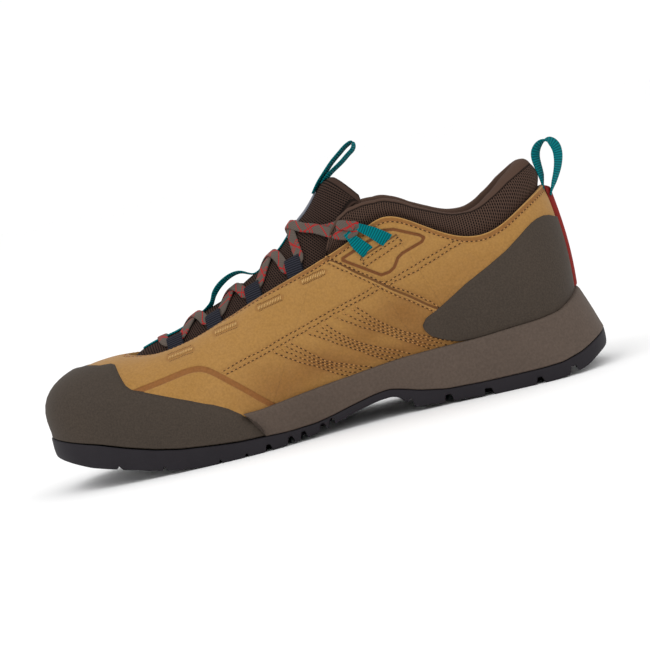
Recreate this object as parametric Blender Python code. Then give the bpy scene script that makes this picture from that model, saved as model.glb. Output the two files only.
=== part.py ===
# Approach shoe, right foot, standing empty on its sole.
# Lengths in the tables are millimetres. s runs back from the toe's foremost point, y to the
# lateral side and z up from the floor; the solids are made in metres with +X toward the heel.

import math

import bmesh
import bpy
import numpy as np

MM = 0.001
SHOE_LENGTH = 300.0
FOOT_FRONT = 4.0
FOOT_BACK = 286.0
FAR = 120.0
GAP = 0.3
WALL = 2.4
RAND_THICKNESS = 2.0
PATCH_THICKNESS = 1.2
INSOLE_THICKNESS = 3.5
TREAD_DEPTH = 3.6
BLOCK_OVERLAP = 0.8
PLATE_LIFT = ((0, 3.6), (153, 3.6), (158, 0.2), (188, 0.2), (191, 3.6), (300, 3.6))
STRIP_HALF_WIDTH = 4.4
STRIP_THICKNESS = 2.5
COLUMNS = 64

# One row for each rib of the upper, from the toe tip back to the heel. A rib climbs from the
# foot line (where the upper stands on the midsole) to the edge of the throat or the collar.
# square is the exponent of its curve, bulge its swell, flare how far the sole stands out.
RIB_COLUMNS = ("foot_s", "medial", "lateral", "edge_s", "edge_y", "edge_z", "square", "bulge", "flare")
RIBS = (
    (3.9, -10.0, -10.0, 50.0, 0.0, 62.0, 3.0, 1.4, 2.8),
    (7.5, -25.5, 7.5, 50.8, 4.5, 62.0, 3.0, 1.4, 2.8),
    (16.0, -36.5, 21.0, 53.0, 8.5, 61.6, 2.8, 1.2, 2.8),
    (29.0, -43.0, 31.5, 57.5, 11.5, 60.8, 2.6, 1.0, 2.8),
    (46.0, -46.5, 40.0, 65.0, 14.0, 60.0, 2.4, 0.8, 2.8),
    (66.0, -48.6, 46.5, 76.0, 16.5, 61.0, 2.2, 0.8, 2.8),
    (86.0, -49.6, 50.2, 90.0, 18.5, 64.2, 2.1, 0.8, 2.8),
    (105.0, -48.6, 51.5, 106.0, 20.5, 69.6, 1.9, 1.0, 2.9),
    (125.0, -43.6, 50.0, 124.0, 23.0, 76.2, 1.7, 2.0, 3.0),
    (146.0, -36.6, 46.0, 146.0, 25.5, 83.2, 1.5, 3.4, 3.4),
    (168.0, -32.0, 41.5, 167.0, 27.5, 90.0, 1.2, 4.4, 4.0),
    (188.0, -30.4, 38.8, 184.0, 29.5, 97.0, 1.0, 4.6, 4.6),
    (205.0, -30.6, 37.8, 199.0, 32.0, 102.4, 1.0, 4.4, 5.0),
    (221.0, -32.0, 37.2, 214.0, 34.5, 96.0, 1.0, 4.0, 5.4),
    (238.0, -33.6, 36.8, 233.0, 35.2, 84.6, 1.0, 3.6, 6.0),
    (256.0, -34.0, 35.4, 251.0, 33.0, 82.4, 1.0, 3.6, 7.2),
    (272.0, -30.5, 31.0, 268.0, 26.5, 89.6, 1.0, 3.8, 9.6),
    (282.0, -20.5, 20.5, 280.0, 15.5, 95.6, 1.0, 3.2, 12.0),
    (286.2, 0.0, 0.0, 285.2, 0.0, 98.0, 1.0, 2.8, 13.2),
)

# Heights along the shoe, as (s, z): the floor side of the tread, the top of the black outsole,
# the bed that the foot lies on, and the midsole's upper rim.
TREAD_LINE = ((0, 20.8), (5, 18.7), (11, 16.4), (22, 12.2), (39, 7.8), (54, 4.0), (66, 1.7),
              (82, 0), (114, 0), (126, 1.0), (134, 1.6), (142, 2.6), (148, 4.3), (156, 6.3),
              (174, 10.2), (182, 10.7), (186, 8.7), (189, 5.2), (193, 2.6), (209, 1.7),
              (224, 0.9), (234, 0), (264, 0), (272, 0.7), (279, 1.6), (285, 3.2), (293, 7.2), (300, 9.6))
OUTSOLE_TOP = ((0, 30.0), (4, 29.0), (12, 27.0), (28, 23.0), (42, 18.3), (56, 14.3), (69, 11.6),
               (86, 9.6), (99, 8.3), (113, 7.8), (126, 7.0), (140, 7.4), (149, 8.8), (158, 10.9),
               (166, 12.6), (174, 14.2), (181, 14.8), (188, 13.2), (197, 10.5), (210, 8.1),
               (230, 7.5), (260, 7.6), (272, 8.2), (283, 10.8), (291, 14.0), (300, 17.6))
FOOT_BED = ((0, 33.6), (8, 31.2), (20, 27.8), (40, 22.8), (60, 18.8), (80, 16.2), (100, 15.2),
            (120, 15.8), (150, 18.6), (180, 21.6), (210, 23.6), (240, 24.6), (270, 25.2), (300, 26.4))
MIDSOLE_RIM = ((85, 20.0), (105, 21.9), (114, 21.9), (124, 23.0), (138, 24.5), (152, 25.8),
               (164, 26.8), (178, 28.2), (192, 29.4), (216, 30.2), (232, 30.4), (249, 31.6),
               (265, 32.2), (275, 33.4), (283, 37.0), (289, 41.0), (293, 43.4), (300, 43.4))

# Side outlines, as (s, z): the rubber rand round the toe and the patch on the heel.
RAND_EDGE = ((-20, 90), (22, 90), (40, 80), (43.6, 61.5), (45.2, 58.5), (46.9, 54.1), (49.0, 49.5),
             (52.4, 46.3), (58.5, 44.2), (75.3, 37.3), (91.0, 31.2), (98.1, 27.1), (104.5, 22.2))
MIDSOLE_FRONT = ((104.5, 22.2), (110.2, 17.1), (113.2, 12.0), (113.6, 0.0))
HEEL_PATCH_EDGE = ((205.6, 43.6), (208, 46.7), (217, 51.0), (232, 59.6), (245, 65.5), (256, 70.9),
                   (265, 76.4), (274, 82.4), (280.4, 83.6), (286, 81.0), (300, 74.0))
HEEL_PATCH_FRONT = ((222.0, 31.4), (214.7, 33.8), (208.8, 36.6), (206.0, 40.4))

# Rise of the padded collar above the leather's edge and its lean toward the foot.
COLLAR_COLUMNS = ("edge_s", "rise", "lean", "thickness")
COLLAR = (
    (166, 4.0, 0.4, 2.6),
    (170, 11.0, 0.8, 3.0),
    (175, 14.8, 1.4, 3.8),
    (181, 15.6, 2.0, 4.6),
    (188, 13.2, 2.4, 5.4),
    (195, 10.2, 2.6, 6.0),
    (204, 9.0, 2.8, 6.6),
    (214, 9.0, 3.0, 7.0),
    (224, 10.8, 3.2, 7.2),
    (234, 12.0, 3.4, 7.4),
    (244, 13.6, 3.6, 7.8),
    (256, 16.6, 4.0, 8.0),
    (268, 17.4, 4.2, 8.0),
    (280, 16.8, 4.4, 8.0),
    (286, 16.0, 4.6, 8.0),
)
COLLAR_DEPTH = 13.0
HEEL_RIB_LENGTH = 75.0

# Tongue sections from its front end under the vamp to its top: ridge point, half width, how far
# the wings fall below the ridge, and thickness.
TONGUE_COLUMNS = ("s", "z", "half_width", "drop", "thickness")
TONGUE = (
    (40.0, 55.6, 10.0, 3.6, 2.6),
    (50.0, 58.6, 15.0, 8.0, 3.0),
    (60.0, 63.4, 18.5, 12.5, 3.6),
    (72.0, 66.2, 21.0, 15.5, 4.0),
    (84.0, 69.4, 23.0, 18.0, 4.0),
    (96.0, 74.8, 24.5, 21.0, 4.2),
    (108.0, 79.0, 25.0, 23.5, 4.4),
    (121.0, 85.6, 25.5, 26.0, 4.6),
    (133.0, 91.8, 25.5, 26.0, 4.8),
    (143.5, 99.2, 23.5, 24.0, 5.0),
    (152.0, 107.6, 20.5, 21.0, 5.4),
    (160.0, 114.2, 19.5, 18.5, 5.8),
    (167.0, 121.6, 18.5, 17.0, 6.0),
    (171.8, 126.6, 18.0, 17.0, 5.6),
    (175.2, 129.4, 16.0, 15.5, 3.8),
)

# Lace tabs along the throat, as s on the leather's edge, and the ankle loops.
TAB_STATIONS = (77.3, 100.1, 123.8, 147.9)
TAB_LENGTH = 8.0
TAB_WIDTH = 10.0
TAB_THICKNESS = 2.0
LACE_WIDTH = 5.0
LACE_THICKNESS = 1.8
LACE_LIFT = 3.0
WEBBING_WIDTH = 7.0
BOW_START = 97.0
BOW_END = 123.0
LACE_TOP_RISE = (149.8, 8.6, 107.6)
LACE_TOP_CROSSING = (150.0, 0.0, 111.0)
LACE_TOP_SIDE = (161.5, 17.0, 109.0)
LACE_TOP_END = (173.0, 28.0, 104.5)

# Tread blocks along the rim of the outsole, as (start, end) in s.
RIM_BLOCKS = ((0, 35.2), (36.8, 58.2), (59.8, 87.2), (88.8, 101.2), (102.8, 112.4), (114.6, 124.4),
              (126.6, 131.0), (133.0, 142.0), (143.6, 146.6), (148.4, 156.6), (191.6, 208.6),
              (211.6, 229.2), (232.6, 256.6), (259.4, 275.0), (278.0, 300))
RIM_BLOCK_WIDTH = 11.0
RIM_BLOCK_INSET = 1.0
STUD_ROWS = ((22, 156), (204, 284))
STUD_RADIUS = 4.9
STUD_PITCH = 15.5
STUD_ROW_STEP = STUD_PITCH * 0.87
STUD_CLEARANCE = 3

COLOURS = {
    "rubber_black": (0.028, 0.027, 0.030), "foam_brown": (0.108, 0.083, 0.063),
    "rand_brown": (0.067, 0.053, 0.042), "nubuck_tan": (0.434, 0.240, 0.075),
    "mesh_brown": (0.048, 0.030, 0.023), "webbing_teal": (0.004, 0.192, 0.215),
    "webbing_dark": (0.027, 0.028, 0.040), "lace_grey": (0.113, 0.090, 0.072),
    "strip_red": (0.210, 0.012, 0.006), "patch_grey": (0.147, 0.156, 0.191),
    "insole_grey": (0.050, 0.046, 0.044),
}


def clear_scene():
    for item in list(bpy.data.objects):
        bpy.data.objects.remove(item, do_unlink=True)


# Curves through tables

def cubic(knots, values, at, period=None):
    """Value of the smooth curve through the knots; a period closes it on itself."""
    knots = np.asarray(knots, float)
    values = np.asarray(values, float)
    at = np.asarray(at, float)
    if period:
        knots = np.append(knots, knots[0] + period)
        values = np.append(values, values[:1], axis=0)
        at = knots[0] + np.mod(at - knots[0], period)
    count = len(knots)
    step = np.diff(knots)
    slope = (np.diff(values, axis=0).T / step).T
    matrix = np.zeros((count, count))
    target = np.zeros(values.shape)
    for k in range(1, count - 1):
        matrix[k, k - 1:k + 2] = (step[k], 2 * (step[k - 1] + step[k]), step[k - 1])
        target[k] = 3 * (step[k] * slope[k - 1] + step[k - 1] * slope[k])
    if period:
        matrix[0, 0], matrix[0, -1] = 1, -1
        matrix[-1, [0, 1, -2, -1]] = (0, step[-1], 0, 2 * step[0])
        matrix[-1, 0] += 2 * step[-1]
        matrix[-1, -2] += step[0]
        target[-1] = 3 * (step[-1] * slope[0] + step[0] * slope[-1])
    else:
        matrix[0, :2] = (2, 1)
        matrix[-1, -2:] = (1, 2)
        target[0], target[-1] = 3 * slope[0], 3 * slope[-1]
    tangent = np.linalg.solve(matrix, target)
    cell = np.clip(np.searchsorted(knots, at, side="right") - 1, 0, count - 2)
    width = step[cell]
    f = (at - knots[cell]) / width
    extra = (np.newaxis,) * (values.ndim - 1)
    f, width = f[(...,) + extra], width[(...,) + extra]
    return ((1 + 2 * f) * (1 - f) ** 2 * values[cell] + f * (1 - f) ** 2 * width * tangent[cell]
            + f * f * (3 - 2 * f) * values[cell + 1] + f * f * (f - 1) * width * tangent[cell + 1])


def height(line, s):
    """Height of one of the (s, z) lines, eased over its corners."""
    knots, values = np.array(line, float).T
    ease = 1.5
    s = np.asarray(s, float)
    return sum(np.interp(s + shift, knots, values) for shift in (-ease, 0.0, ease)) / 3


# The last: a loop of ribs. q is 0 at the toe, 1 at the heel and runs on along the lateral side.

def rib_loop():
    table = np.array(RIBS)
    column = {name: table[:, k] for k, name in enumerate(RIB_COLUMNS)}
    sides = []
    for side, foot_y in ((-1, column["medial"]), (1, column["lateral"])):
        sides.append(np.column_stack([column["foot_s"], foot_y, column["edge_s"],
                                      side * column["edge_y"], column["edge_z"],
                                      column["square"], column["bulge"], column["flare"]]))
    reach = np.zeros(len(table))
    for rows in sides:
        foot = np.linalg.norm(np.diff(rows[:, 0:2], axis=0), axis=1)
        edge = np.linalg.norm(np.diff(rows[:, 2:5], axis=0), axis=1)
        reach[1:] += np.cumsum(foot + edge)
    reach /= reach[-1]
    knots = np.concatenate([reach, 2 - reach[-2:0:-1]])
    return knots, np.vstack([sides[0], sides[1][-2:0:-1]])


LOOP_KNOTS, LOOP_ROWS = rib_loop()


def ribs_at(q):
    rows = cubic(LOOP_KNOTS, LOOP_ROWS, q, period=2.0)
    ahead = cubic(LOOP_KNOTS, LOOP_ROWS, q + 0.002, period=2.0)
    behind = cubic(LOOP_KNOTS, LOOP_ROWS, q - 0.002, period=2.0)
    run = ahead[:, 0:2] - behind[:, 0:2]
    edge_run = ahead[:, 2:4] - behind[:, 2:4]
    outward = np.column_stack([run[:, 1], -run[:, 0]]) / np.linalg.norm(run, axis=1)[:, None]
    edge_out = (np.column_stack([edge_run[:, 1], -edge_run[:, 0]])
                / np.linalg.norm(edge_run, axis=1)[:, None])
    return rows, outward, edge_out


def raw_skin(q, v):
    """Outer skin of the upper. v is the share of a rib's length, or millimetres below its foot
    where it is negative. q has one value a rib, v one row of values a rib."""
    rows, outward, _ = ribs_at(q)
    foot_z = height(FOOT_BED, rows[:, 0]) + GAP
    theta = np.linspace(0, 1, 81) ** 1.5 * math.pi / 2
    power = (2 / rows[:, 5])[:, None]
    across = 1 - np.clip(np.cos(theta)[None, :], 0, 1) ** power
    up = np.sin(theta)[None, :] ** power
    swell = np.sin(math.pi * up) * rows[:, 6][:, None]
    points = np.empty((len(q), len(theta), 3))
    for axis in (0, 1):
        span = rows[:, 2 + axis] - rows[:, axis]
        points[:, :, axis] = (rows[:, axis, None] + across * span[:, None]
                              + swell * outward[:, axis, None])
    points[:, :, 2] = foot_z[:, None] + up * (rows[:, 4] - foot_z)[:, None]
    travelled = np.zeros(points.shape[:2])
    travelled[:, 1:] = np.cumsum(np.linalg.norm(np.diff(points, axis=1), axis=2), axis=1)
    travelled /= travelled[:, -1:]
    skin = np.empty(v.shape + (3,))
    for k in range(len(q)):
        for axis in range(3):
            skin[k, :, axis] = np.interp(np.maximum(v[k], 0), travelled[k], points[k, :, axis])
    skin[:, :, 2] += np.minimum(v, 0)
    return skin


def skin_rows(q, v, *offsets):
    """The skin moved along its normal by each of the offsets, outward positive."""
    q = np.asarray(q, float)
    v = np.broadcast_to(np.asarray(v, float), (len(q), np.shape(v)[-1])).copy()
    base = raw_skin(q, v)
    along = raw_skin(q + 0.004, v) - raw_skin(q - 0.004, v)
    top, low = v + 0.02, v - 0.02
    top, low = np.where(top > 1, 1, top), np.where(top > 1, 0.96, low)
    top, low = np.where(v < 0, v + 0.5, top), np.where(v < 0, v - 0.5, low)
    low = np.where((v >= 0) & (low < 0), v * 0, low)
    climb = raw_skin(q, top) - raw_skin(q, low)
    normal = np.cross(along, climb)
    normal /= np.linalg.norm(normal, axis=2)[:, :, None]
    return [base + normal * offset for offset in offsets]


def share_at_height(q, z):
    """Share of each rib's length where it reaches the height z."""
    v = np.linspace(0, 1, 60)
    grid = raw_skin(q, np.broadcast_to(v, (len(q), 60)))
    return np.array([np.interp(z[k], grid[k, :, 2], v) for k in range(len(q))])


def loop_q(side, s, line="foot"):
    """q of the rib whose foot, or whose top edge, lies at s on one side."""
    q = np.linspace(0.0, 1.0, 400)
    q = q if side < 0 else 2 - q
    rows, _, _ = ribs_at(q)
    values = rows[:, 0] if line == "foot" else rows[:, 2]
    values = np.maximum.accumulate(values)
    return float(np.interp(s, values, q))


def sole_outline(q, inset=0.0):
    """Plan of the sole's side: the foot line moved out by the flare, less an inset."""
    rows, outward, _ = ribs_at(q)
    return rows[:, 0:2] + outward * (rows[:, 7] - inset)[:, None]


# Meshes

def place(points):
    """Shoe millimetres to metres in the frame centred on the sole."""
    points = np.asarray(points, float)
    return np.column_stack([points[:, 0] - CENTRE[0], points[:, 1] - CENTRE[1], points[:, 2]]) * MM


def material(name):
    made = bpy.data.materials.get(name)
    if made:
        return made
    made = bpy.data.materials.new(name)
    made.use_nodes = True
    shader = made.node_tree.nodes["Principled BSDF"]
    shader.inputs["Base Color"].default_value = COLOURS[name] + (1.0,)
    shader.inputs["Roughness"].default_value = 0.85
    shader.inputs["Metallic"].default_value = 0.0
    return made


def solid(name, points, faces, finish, guide=False):
    mesh = bpy.data.meshes.new(name)
    mesh.from_pydata(place(points).tolist(), [], faces)
    work = bmesh.new()
    work.from_mesh(mesh)
    bmesh.ops.remove_doubles(work, verts=work.verts, dist=0.00001)
    bmesh.ops.recalc_face_normals(work, faces=work.faces)
    work.to_mesh(mesh)
    work.free()
    item = bpy.data.objects.new(name, mesh)
    item.data.materials.append(material(finish))
    bpy.context.scene.collection.objects.link(item)
    if guide:
        item.hide_render = True
        item.display_type = "WIRE"
    return item


def boolean(item, cutter, operation):
    step = item.modifiers.new(operation.lower(), "BOOLEAN")
    step.operation = operation
    step.solver = "EXACT"
    step.object = cutter


def rings_solid(name, rings, finish, closed=False, guide=False):
    """Body swept through rings of points, each ring closed; its ends capped unless it closes."""
    size = len(rings[0])
    count = len(rings)
    points = np.concatenate(rings)
    faces = []
    for k in range(count if closed else count - 1):
        here, there = k * size, (k + 1) % count * size
        for j in range(size):
            n = (j + 1) % size
            faces.append((here + j, here + n, there + n, there + j))
    if not closed:
        faces.append(tuple(range(size)))
        faces.append(tuple(range((count - 1) * size, count * size)))
    return solid(name, points, faces, finish, guide)


def slab(name, inner, outer, finish, closed=False, guide=False):
    """Wall between two grids of points that share their columns."""
    return rings_solid(name, [np.vstack([a, b[::-1]]) for a, b in zip(inner, outer)],
                       finish, closed, guide)


def layered_plan(name, layers, finish, guide=False):
    """Body between outlines stacked from its lowest to its highest; the ends are filled by
    strips that join each medial point to the lateral one beside it."""
    size = len(layers[0])
    points = np.concatenate(layers)
    faces = []
    for k in range(len(layers) - 1):
        for j in range(size):
            n = (j + 1) % size
            faces.append((k * size + j, k * size + n, (k + 1) * size + n, (k + 1) * size + j))
    for start in (0, (len(layers) - 1) * size):
        for j in range(size // 2):
            ring = (start + j, start + j + 1, start + size - j - 1, start + (size - j) % size)
            faces.append(tuple(dict.fromkeys(ring)))
    return solid(name, points, faces, finish, guide)


def side_prism(name, outline, y0=-FAR, y1=FAR):
    """Cutter with an outline given in the side view."""
    rings = [np.array([(s, y, z) for s, z in outline], float) for y in (y0, y1)]
    return rings_solid(name, rings, "rubber_black", guide=True)


def ribbon(name, path, across, width, thickness, finish):
    """Flat webbing along a path; across is its width direction at each point."""
    path = np.asarray(path, float)
    across = np.asarray(across, float)
    across = across / np.linalg.norm(across, axis=1)[:, None]
    width = np.broadcast_to(width, len(path))
    run = np.gradient(path, axis=0)
    face = np.cross(run, across)
    face /= np.linalg.norm(face, axis=1)[:, None]
    rings = []
    for p, a, f, w in zip(path, across, face, width):
        a, f = a * w / 2, f * thickness / 2
        rings.append(np.array([p - a - f, p + a - f, p + a + f, p - a + f]))
    return rings_solid(name, rings, finish)


def smooth_path(points, count):
    points = np.asarray(points, float)
    knots = np.append(0, np.cumsum(np.linalg.norm(np.diff(points, axis=0), axis=1)))
    return cubic(knots, points, np.linspace(0, knots[-1], count))


# Pieces of the sole

def with_height(outline, line, lift=0.0):
    return np.column_stack([outline, height(line, outline[:, 0]) + lift])


def make_outsole():
    q = np.arange(COLUMNS) * 2.0 / COLUMNS
    rim = sole_outline(q)
    low = sole_outline(q, 0.6)
    plate_low = with_height(low, TREAD_LINE)
    plate_low[:, 2] += height(PLATE_LIFT, low[:, 0])
    plate_top = with_height(rim, OUTSOLE_TOP)
    middle = (plate_low + plate_top) / 2
    outsole = layered_plan("outsole", [plate_low, middle, plate_top], "rubber_black")
    for k, (start, end) in enumerate(RIM_BLOCKS):
        boolean(outsole, rim_block(f"rim_block_medial_{k}", -1, start, end), "UNION")
        if start > 0 and end < SHOE_LENGTH:
            boolean(outsole, rim_block(f"rim_block_lateral_{k}", 1, start, end), "UNION")
    boolean(outsole, make_studs(), "UNION")


def rim_block(name, side, start, end):
    """Tread block along the rim; the toe and heel ones run round to the other side."""
    first, last = loop_q(side, max(start, FOOT_FRONT)), loop_q(side, min(end, FOOT_BACK))
    if start <= 0:
        first, last = -loop_q(-1, end), loop_q(-1, end)
    if end >= SHOE_LENGTH:
        first, last = loop_q(-1, start), 2 - loop_q(-1, start)
    count = max(3, int(abs(last - first) * COLUMNS / 2 * 1.1) + 2)
    q = np.linspace(first, last, count)
    out, inner = sole_outline(q, RIM_BLOCK_INSET), sole_outline(q, RIM_BLOCK_INSET + RIM_BLOCK_WIDTH)
    rings = []
    for a, b in zip(out, inner):
        low_a, low_b = height(TREAD_LINE, a[0]), height(TREAD_LINE, b[0])
        rings.append(np.array([(a[0], a[1], low_a), (b[0], b[1], low_b),
                               (b[0], b[1], low_b + TREAD_DEPTH + BLOCK_OVERLAP),
                               (a[0], a[1], low_a + TREAD_DEPTH + BLOCK_OVERLAP)]))
    return rings_solid(name, rings, "rubber_black", guide=True)


def make_studs():
    """Six-sided studs in staggered rows inside the rim blocks, made as one cutter body."""
    points, faces = [], []
    q_side = np.linspace(0, 1, 200)
    medial, lateral = sole_outline(q_side), sole_outline(2 - q_side)
    margin = RIM_BLOCK_WIDTH + STUD_RADIUS + STUD_CLEARANCE
    for first, last in STUD_ROWS:
        row = 0
        s = first
        while s < last:
            low = np.interp(s, medial[:, 0], medial[:, 1]) + margin
            high = np.interp(s, lateral[:, 0], lateral[:, 1]) - margin
            y = math.ceil(low / STUD_PITCH) * STUD_PITCH + (row % 2 - 1) * STUD_PITCH / 2
            while y < high:
                if y > low:
                    add_stud(points, faces, s, y)
                y += STUD_PITCH
            s += STUD_ROW_STEP
            row += 1
    return solid("studs", points, faces, "rubber_black", guide=True)


def add_stud(points, faces, s, y):
    start = len(points)
    for lift in (0.0, TREAD_DEPTH + BLOCK_OVERLAP):
        for k in range(6):
            angle = math.pi / 3 * (k + 0.5)
            at_s = s + STUD_RADIUS * math.cos(angle)
            points.append((at_s, y + STUD_RADIUS * math.sin(angle),
                           float(height(TREAD_LINE, at_s)) + lift))
    faces.append(tuple(start + k for k in range(6)))
    faces.append(tuple(start + 6 + k for k in range(6)))
    for k in range(6):
        n = (k + 1) % 6
        faces.append((start + k, start + n, start + 6 + n, start + 6 + k))


def rim_shares(q):
    """Share of each rib's length where the midsole's rim meets it."""
    at_s = ribs_at(q)[0][:, 0]
    for _ in range(4):
        shares = share_at_height(q, height(MIDSOLE_RIM, at_s))
        at_s = skin_rows(q, shares[:, None], 0.0)[0][:, 0, 0]
    return shares


def make_midsole():
    """Foam: a core flush with the upper's foot, and a cup rim from the ball back to the heel."""
    q = np.arange(COLUMNS) * 2.0 / COLUMNS
    rows, outward, _ = ribs_at(q)
    foot = rows[:, 0:2]
    core_low = with_height(foot, OUTSOLE_TOP, GAP)
    core_top = with_height(foot, FOOT_BED)
    core = layered_plan("midsole_core", [core_low, core_top], "foam_brown", guide=True)

    bed_z = height(FOOT_BED, foot[:, 0])
    v_rim = rim_shares(q)
    inner_rim, = skin_rows(q, v_rim[:, None], GAP)
    inner_bed, = skin_rows(q, (v_rim * 0)[:, None], GAP)
    inner_mid, = skin_rows(q, (v_rim * 0.5)[:, None], GAP)
    rings = []
    for k in range(COLUMNS):
        out = np.append(outward[k], 0)
        low = np.append(foot[k] + outward[k] * rows[k, 7], 0)
        low[2] = height(OUTSOLE_TOP, low[0]) + GAP
        rim = inner_rim[k, 0] + out * 2.6
        shoulder = rim * 0.72 + low * 0.28 + out * 0.7
        waist = rim * 0.35 + low * 0.65 + out * 0.5
        rim_edge = rim - np.array((0, 0, 0.8)) + out * 0.6
        bed = inner_bed[k, 0].copy()
        bed[2] = bed_z[k] - 0.4
        heart = np.append(foot[k] - outward[k] * 1.6, bed[2])
        heart_low = np.append(foot[k] - outward[k] * 1.6, height(OUTSOLE_TOP, low[0]) + GAP + 0.6)
        rings.append(np.array([low, waist, shoulder, rim_edge, rim, inner_rim[k, 0],
                               inner_mid[k, 0], bed, heart, heart_low]))
    midsole = rings_solid("midsole", rings, "foam_brown", closed=True)
    front = [(s + GAP, z) for s, z in MIDSOLE_FRONT]
    keep = [front[-1], (330, 0), (330, 80), (front[0][0], 80)] + front[:-1]
    boolean(midsole, side_prism("midsole_front_cut", keep), "INTERSECT")
    boolean(midsole, core, "UNION")


def make_insole():
    q = np.arange(COLUMNS) * 2.0 / COLUMNS
    rows, outward, _ = ribs_at(q)
    inset = WALL + 1.0
    outline = rows[:, 0:2] - outward * inset
    low = with_height(outline, FOOT_BED, GAP)
    top = low + np.array((0, 0, INSOLE_THICKNESS))
    layered_plan("insole", [low, top], "insole_grey")


# Pieces of the upper

def make_upper():
    q = np.arange(COLUMNS) * 2.0 / COLUMNS
    v = np.linspace(0, 1, 10)
    outer, inner = skin_rows(q, v, 0.0, -WALL)
    inner[:, 0, 2] = outer[:, 0, 2]
    slab("upper", inner, outer, "nubuck_tan", closed=True)


def overlay(name, q, v, thickness, finish):
    inner, outer = skin_rows(q, v, GAP + 0.1, GAP + thickness)
    return slab(name, inner, outer, finish)


def make_rand():
    step = 2.0 / COLUMNS
    reach = 19
    q = np.arange(-reach, reach + 1) * step
    rows, _, _ = ribs_at(q)
    foot_z = height(FOOT_BED, rows[:, 0]) + GAP
    low_z = height(OUTSOLE_TOP, rows[:, 0] - 1.2) + GAP + 0.2
    shares = np.linspace(0, 1, 10)[:9]
    v = np.array([np.concatenate([(low - high, (low - high) * 0.4), shares])
                  for low, high in zip(low_z, foot_z)])
    rand = overlay("toe_rand", q, v, RAND_THICKNESS, "rand_brown")
    front = [(s - GAP / 2, z) for s, z in MIDSOLE_FRONT]
    keep = list(RAND_EDGE) + front[1:] + [(-20, 0)]
    boolean(rand, side_prism("rand_outline", keep), "INTERSECT")
    notch = np.array([(25.5, -10.0, 30), (38.5, -22.5, 30), (60, -24, 30),
                      (60, 24, 30), (38.5, 22.5, 30), (25.5, 10.0, 30), (22.5, 0.0, 30)], float)
    top = notch + np.array((0, 0, 60))
    boolean(rand, rings_solid("rand_notch", [notch, top], "rubber_black", guide=True), "DIFFERENCE")


def make_heel_patches():
    step = 2.0 / COLUMNS
    v = np.linspace(0, 1, 10)
    rim = [(s, z + 4 * GAP) for s, z in MIDSOLE_RIM if s > 222]
    outline = list(HEEL_PATCH_EDGE) + rim[::-1] + list(HEEL_PATCH_FRONT)
    for side, label in ((-1, "medial"), (1, "lateral")):
        first = int(loop_q(-1, 198) / step)
        q = np.arange(first, COLUMNS // 2 + 1) * step
        q = q if side < 0 else (2 - q)[::-1]
        patch = overlay(f"heel_patch_{label}", q, v, PATCH_THICKNESS, "rand_brown")
        near, far = sorted((side * (STRIP_HALF_WIDTH + GAP), side * FAR))
        boolean(patch, side_prism(f"heel_patch_outline_{label}", outline, near, far), "INTERSECT")


def loop_q_across(y):
    """q of the rib at the heel whose foot lies at y."""
    q = np.linspace(0.95, 1.05, 200)
    return float(np.interp(y, ribs_at(q)[0][:, 1], q))


def make_heel_strip():
    """Narrow strip down the back seam, from the leather's edge to the midsole's tip."""
    v = np.linspace(share_at_height(np.array([1.0]), [44.2])[0], 0.985, 12)
    q = np.linspace(*(loop_q_across(y) for y in (-STRIP_HALF_WIDTH, STRIP_HALF_WIDTH)), 3)
    inner, outer = skin_rows(q, v, GAP + 0.1, STRIP_THICKNESS)
    slab("heel_strip", inner, outer, "strip_red")


def make_collar():
    """Padded mesh band inside the ankle opening that rolls over the leather's edge."""
    table = np.array(COLLAR, float)
    first = loop_q(-1, table[0, 0], "edge")
    step = 2.0 / COLUMNS
    inside = np.arange(math.ceil(first / step + 0.3), math.floor((2 - first) / step - 0.3) + 1) * step
    q = np.concatenate([[first], inside, [2 - first]])
    rows, _, edge_out = ribs_at(q)
    depth_v = 1 - COLLAR_DEPTH / HEEL_RIB_LENGTH
    lining, = skin_rows(q, np.array([depth_v, 0.5 + depth_v / 2, 0.98]), -WALL - GAP - 0.4)
    rings = []
    for k in range(len(q)):
        rise, lean, thick = (np.interp(rows[k, 2], table[:, 0], table[:, COLLAR_COLUMNS.index(name)])
                             for name in ("rise", "lean", "thickness"))
        edge = np.append(rows[k, 2:4], rows[k, 4])
        out = np.append(edge_out[k], 0)
        up = np.array((0, 0, 1.0))

        def at(n, z):
            return edge + out * n + up * z

        low, mid, high = lining[k]
        rings.append(np.array([
            low, mid, high, at(-2.4, 1.2), at(-1.0 - lean * 0.1, 0.6 + rise * 0.35),
            at(-1.4 - lean * 0.45, rise * 0.72), at(-2.6 - lean * 0.8, rise * 0.94),
            at(-2.0 - lean - thick * 0.35, rise), at(-2.2 - lean - thick * 0.8, rise * 0.9),
            at(-2.6 - lean * 0.6 - thick, rise * 0.5), at(-2.8 - lean * 0.2 - thick, 0),
            mid - out * thick * 0.8, low - out * 1.2 - up * 0.6]))
    rings_solid("collar", rings, "mesh_brown")


def tongue_surface(t, shares, lift=0.0):
    """Points across the tongue at place t of its length; shares run from -1 to 1 over its width."""
    table = np.array(TONGUE, float)
    knots = np.append(0, np.cumsum(np.linalg.norm(np.diff(table[:, :2], axis=0), axis=1)))
    row = cubic(knots, table, np.array([t * knots[-1]]))[0]
    run = (cubic(knots, table[:, :2], np.array([t * knots[-1] + 0.5]))[0]
           - cubic(knots, table[:, :2], np.array([t * knots[-1] - 0.5]))[0])
    run /= np.linalg.norm(run)
    up = np.array((-run[1], 0, run[0]))
    shares = np.asarray(shares, float)
    half, drop, thickness = (row[TONGUE_COLUMNS.index(name)] for name in ("half_width", "drop", "thickness"))
    y = half * shares
    points = (np.array((row[0], 0, row[1])) + np.outer(y, (0, 1, 0))
              + np.outer(lift - drop * shares ** 2, up))
    return points, up, thickness


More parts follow.
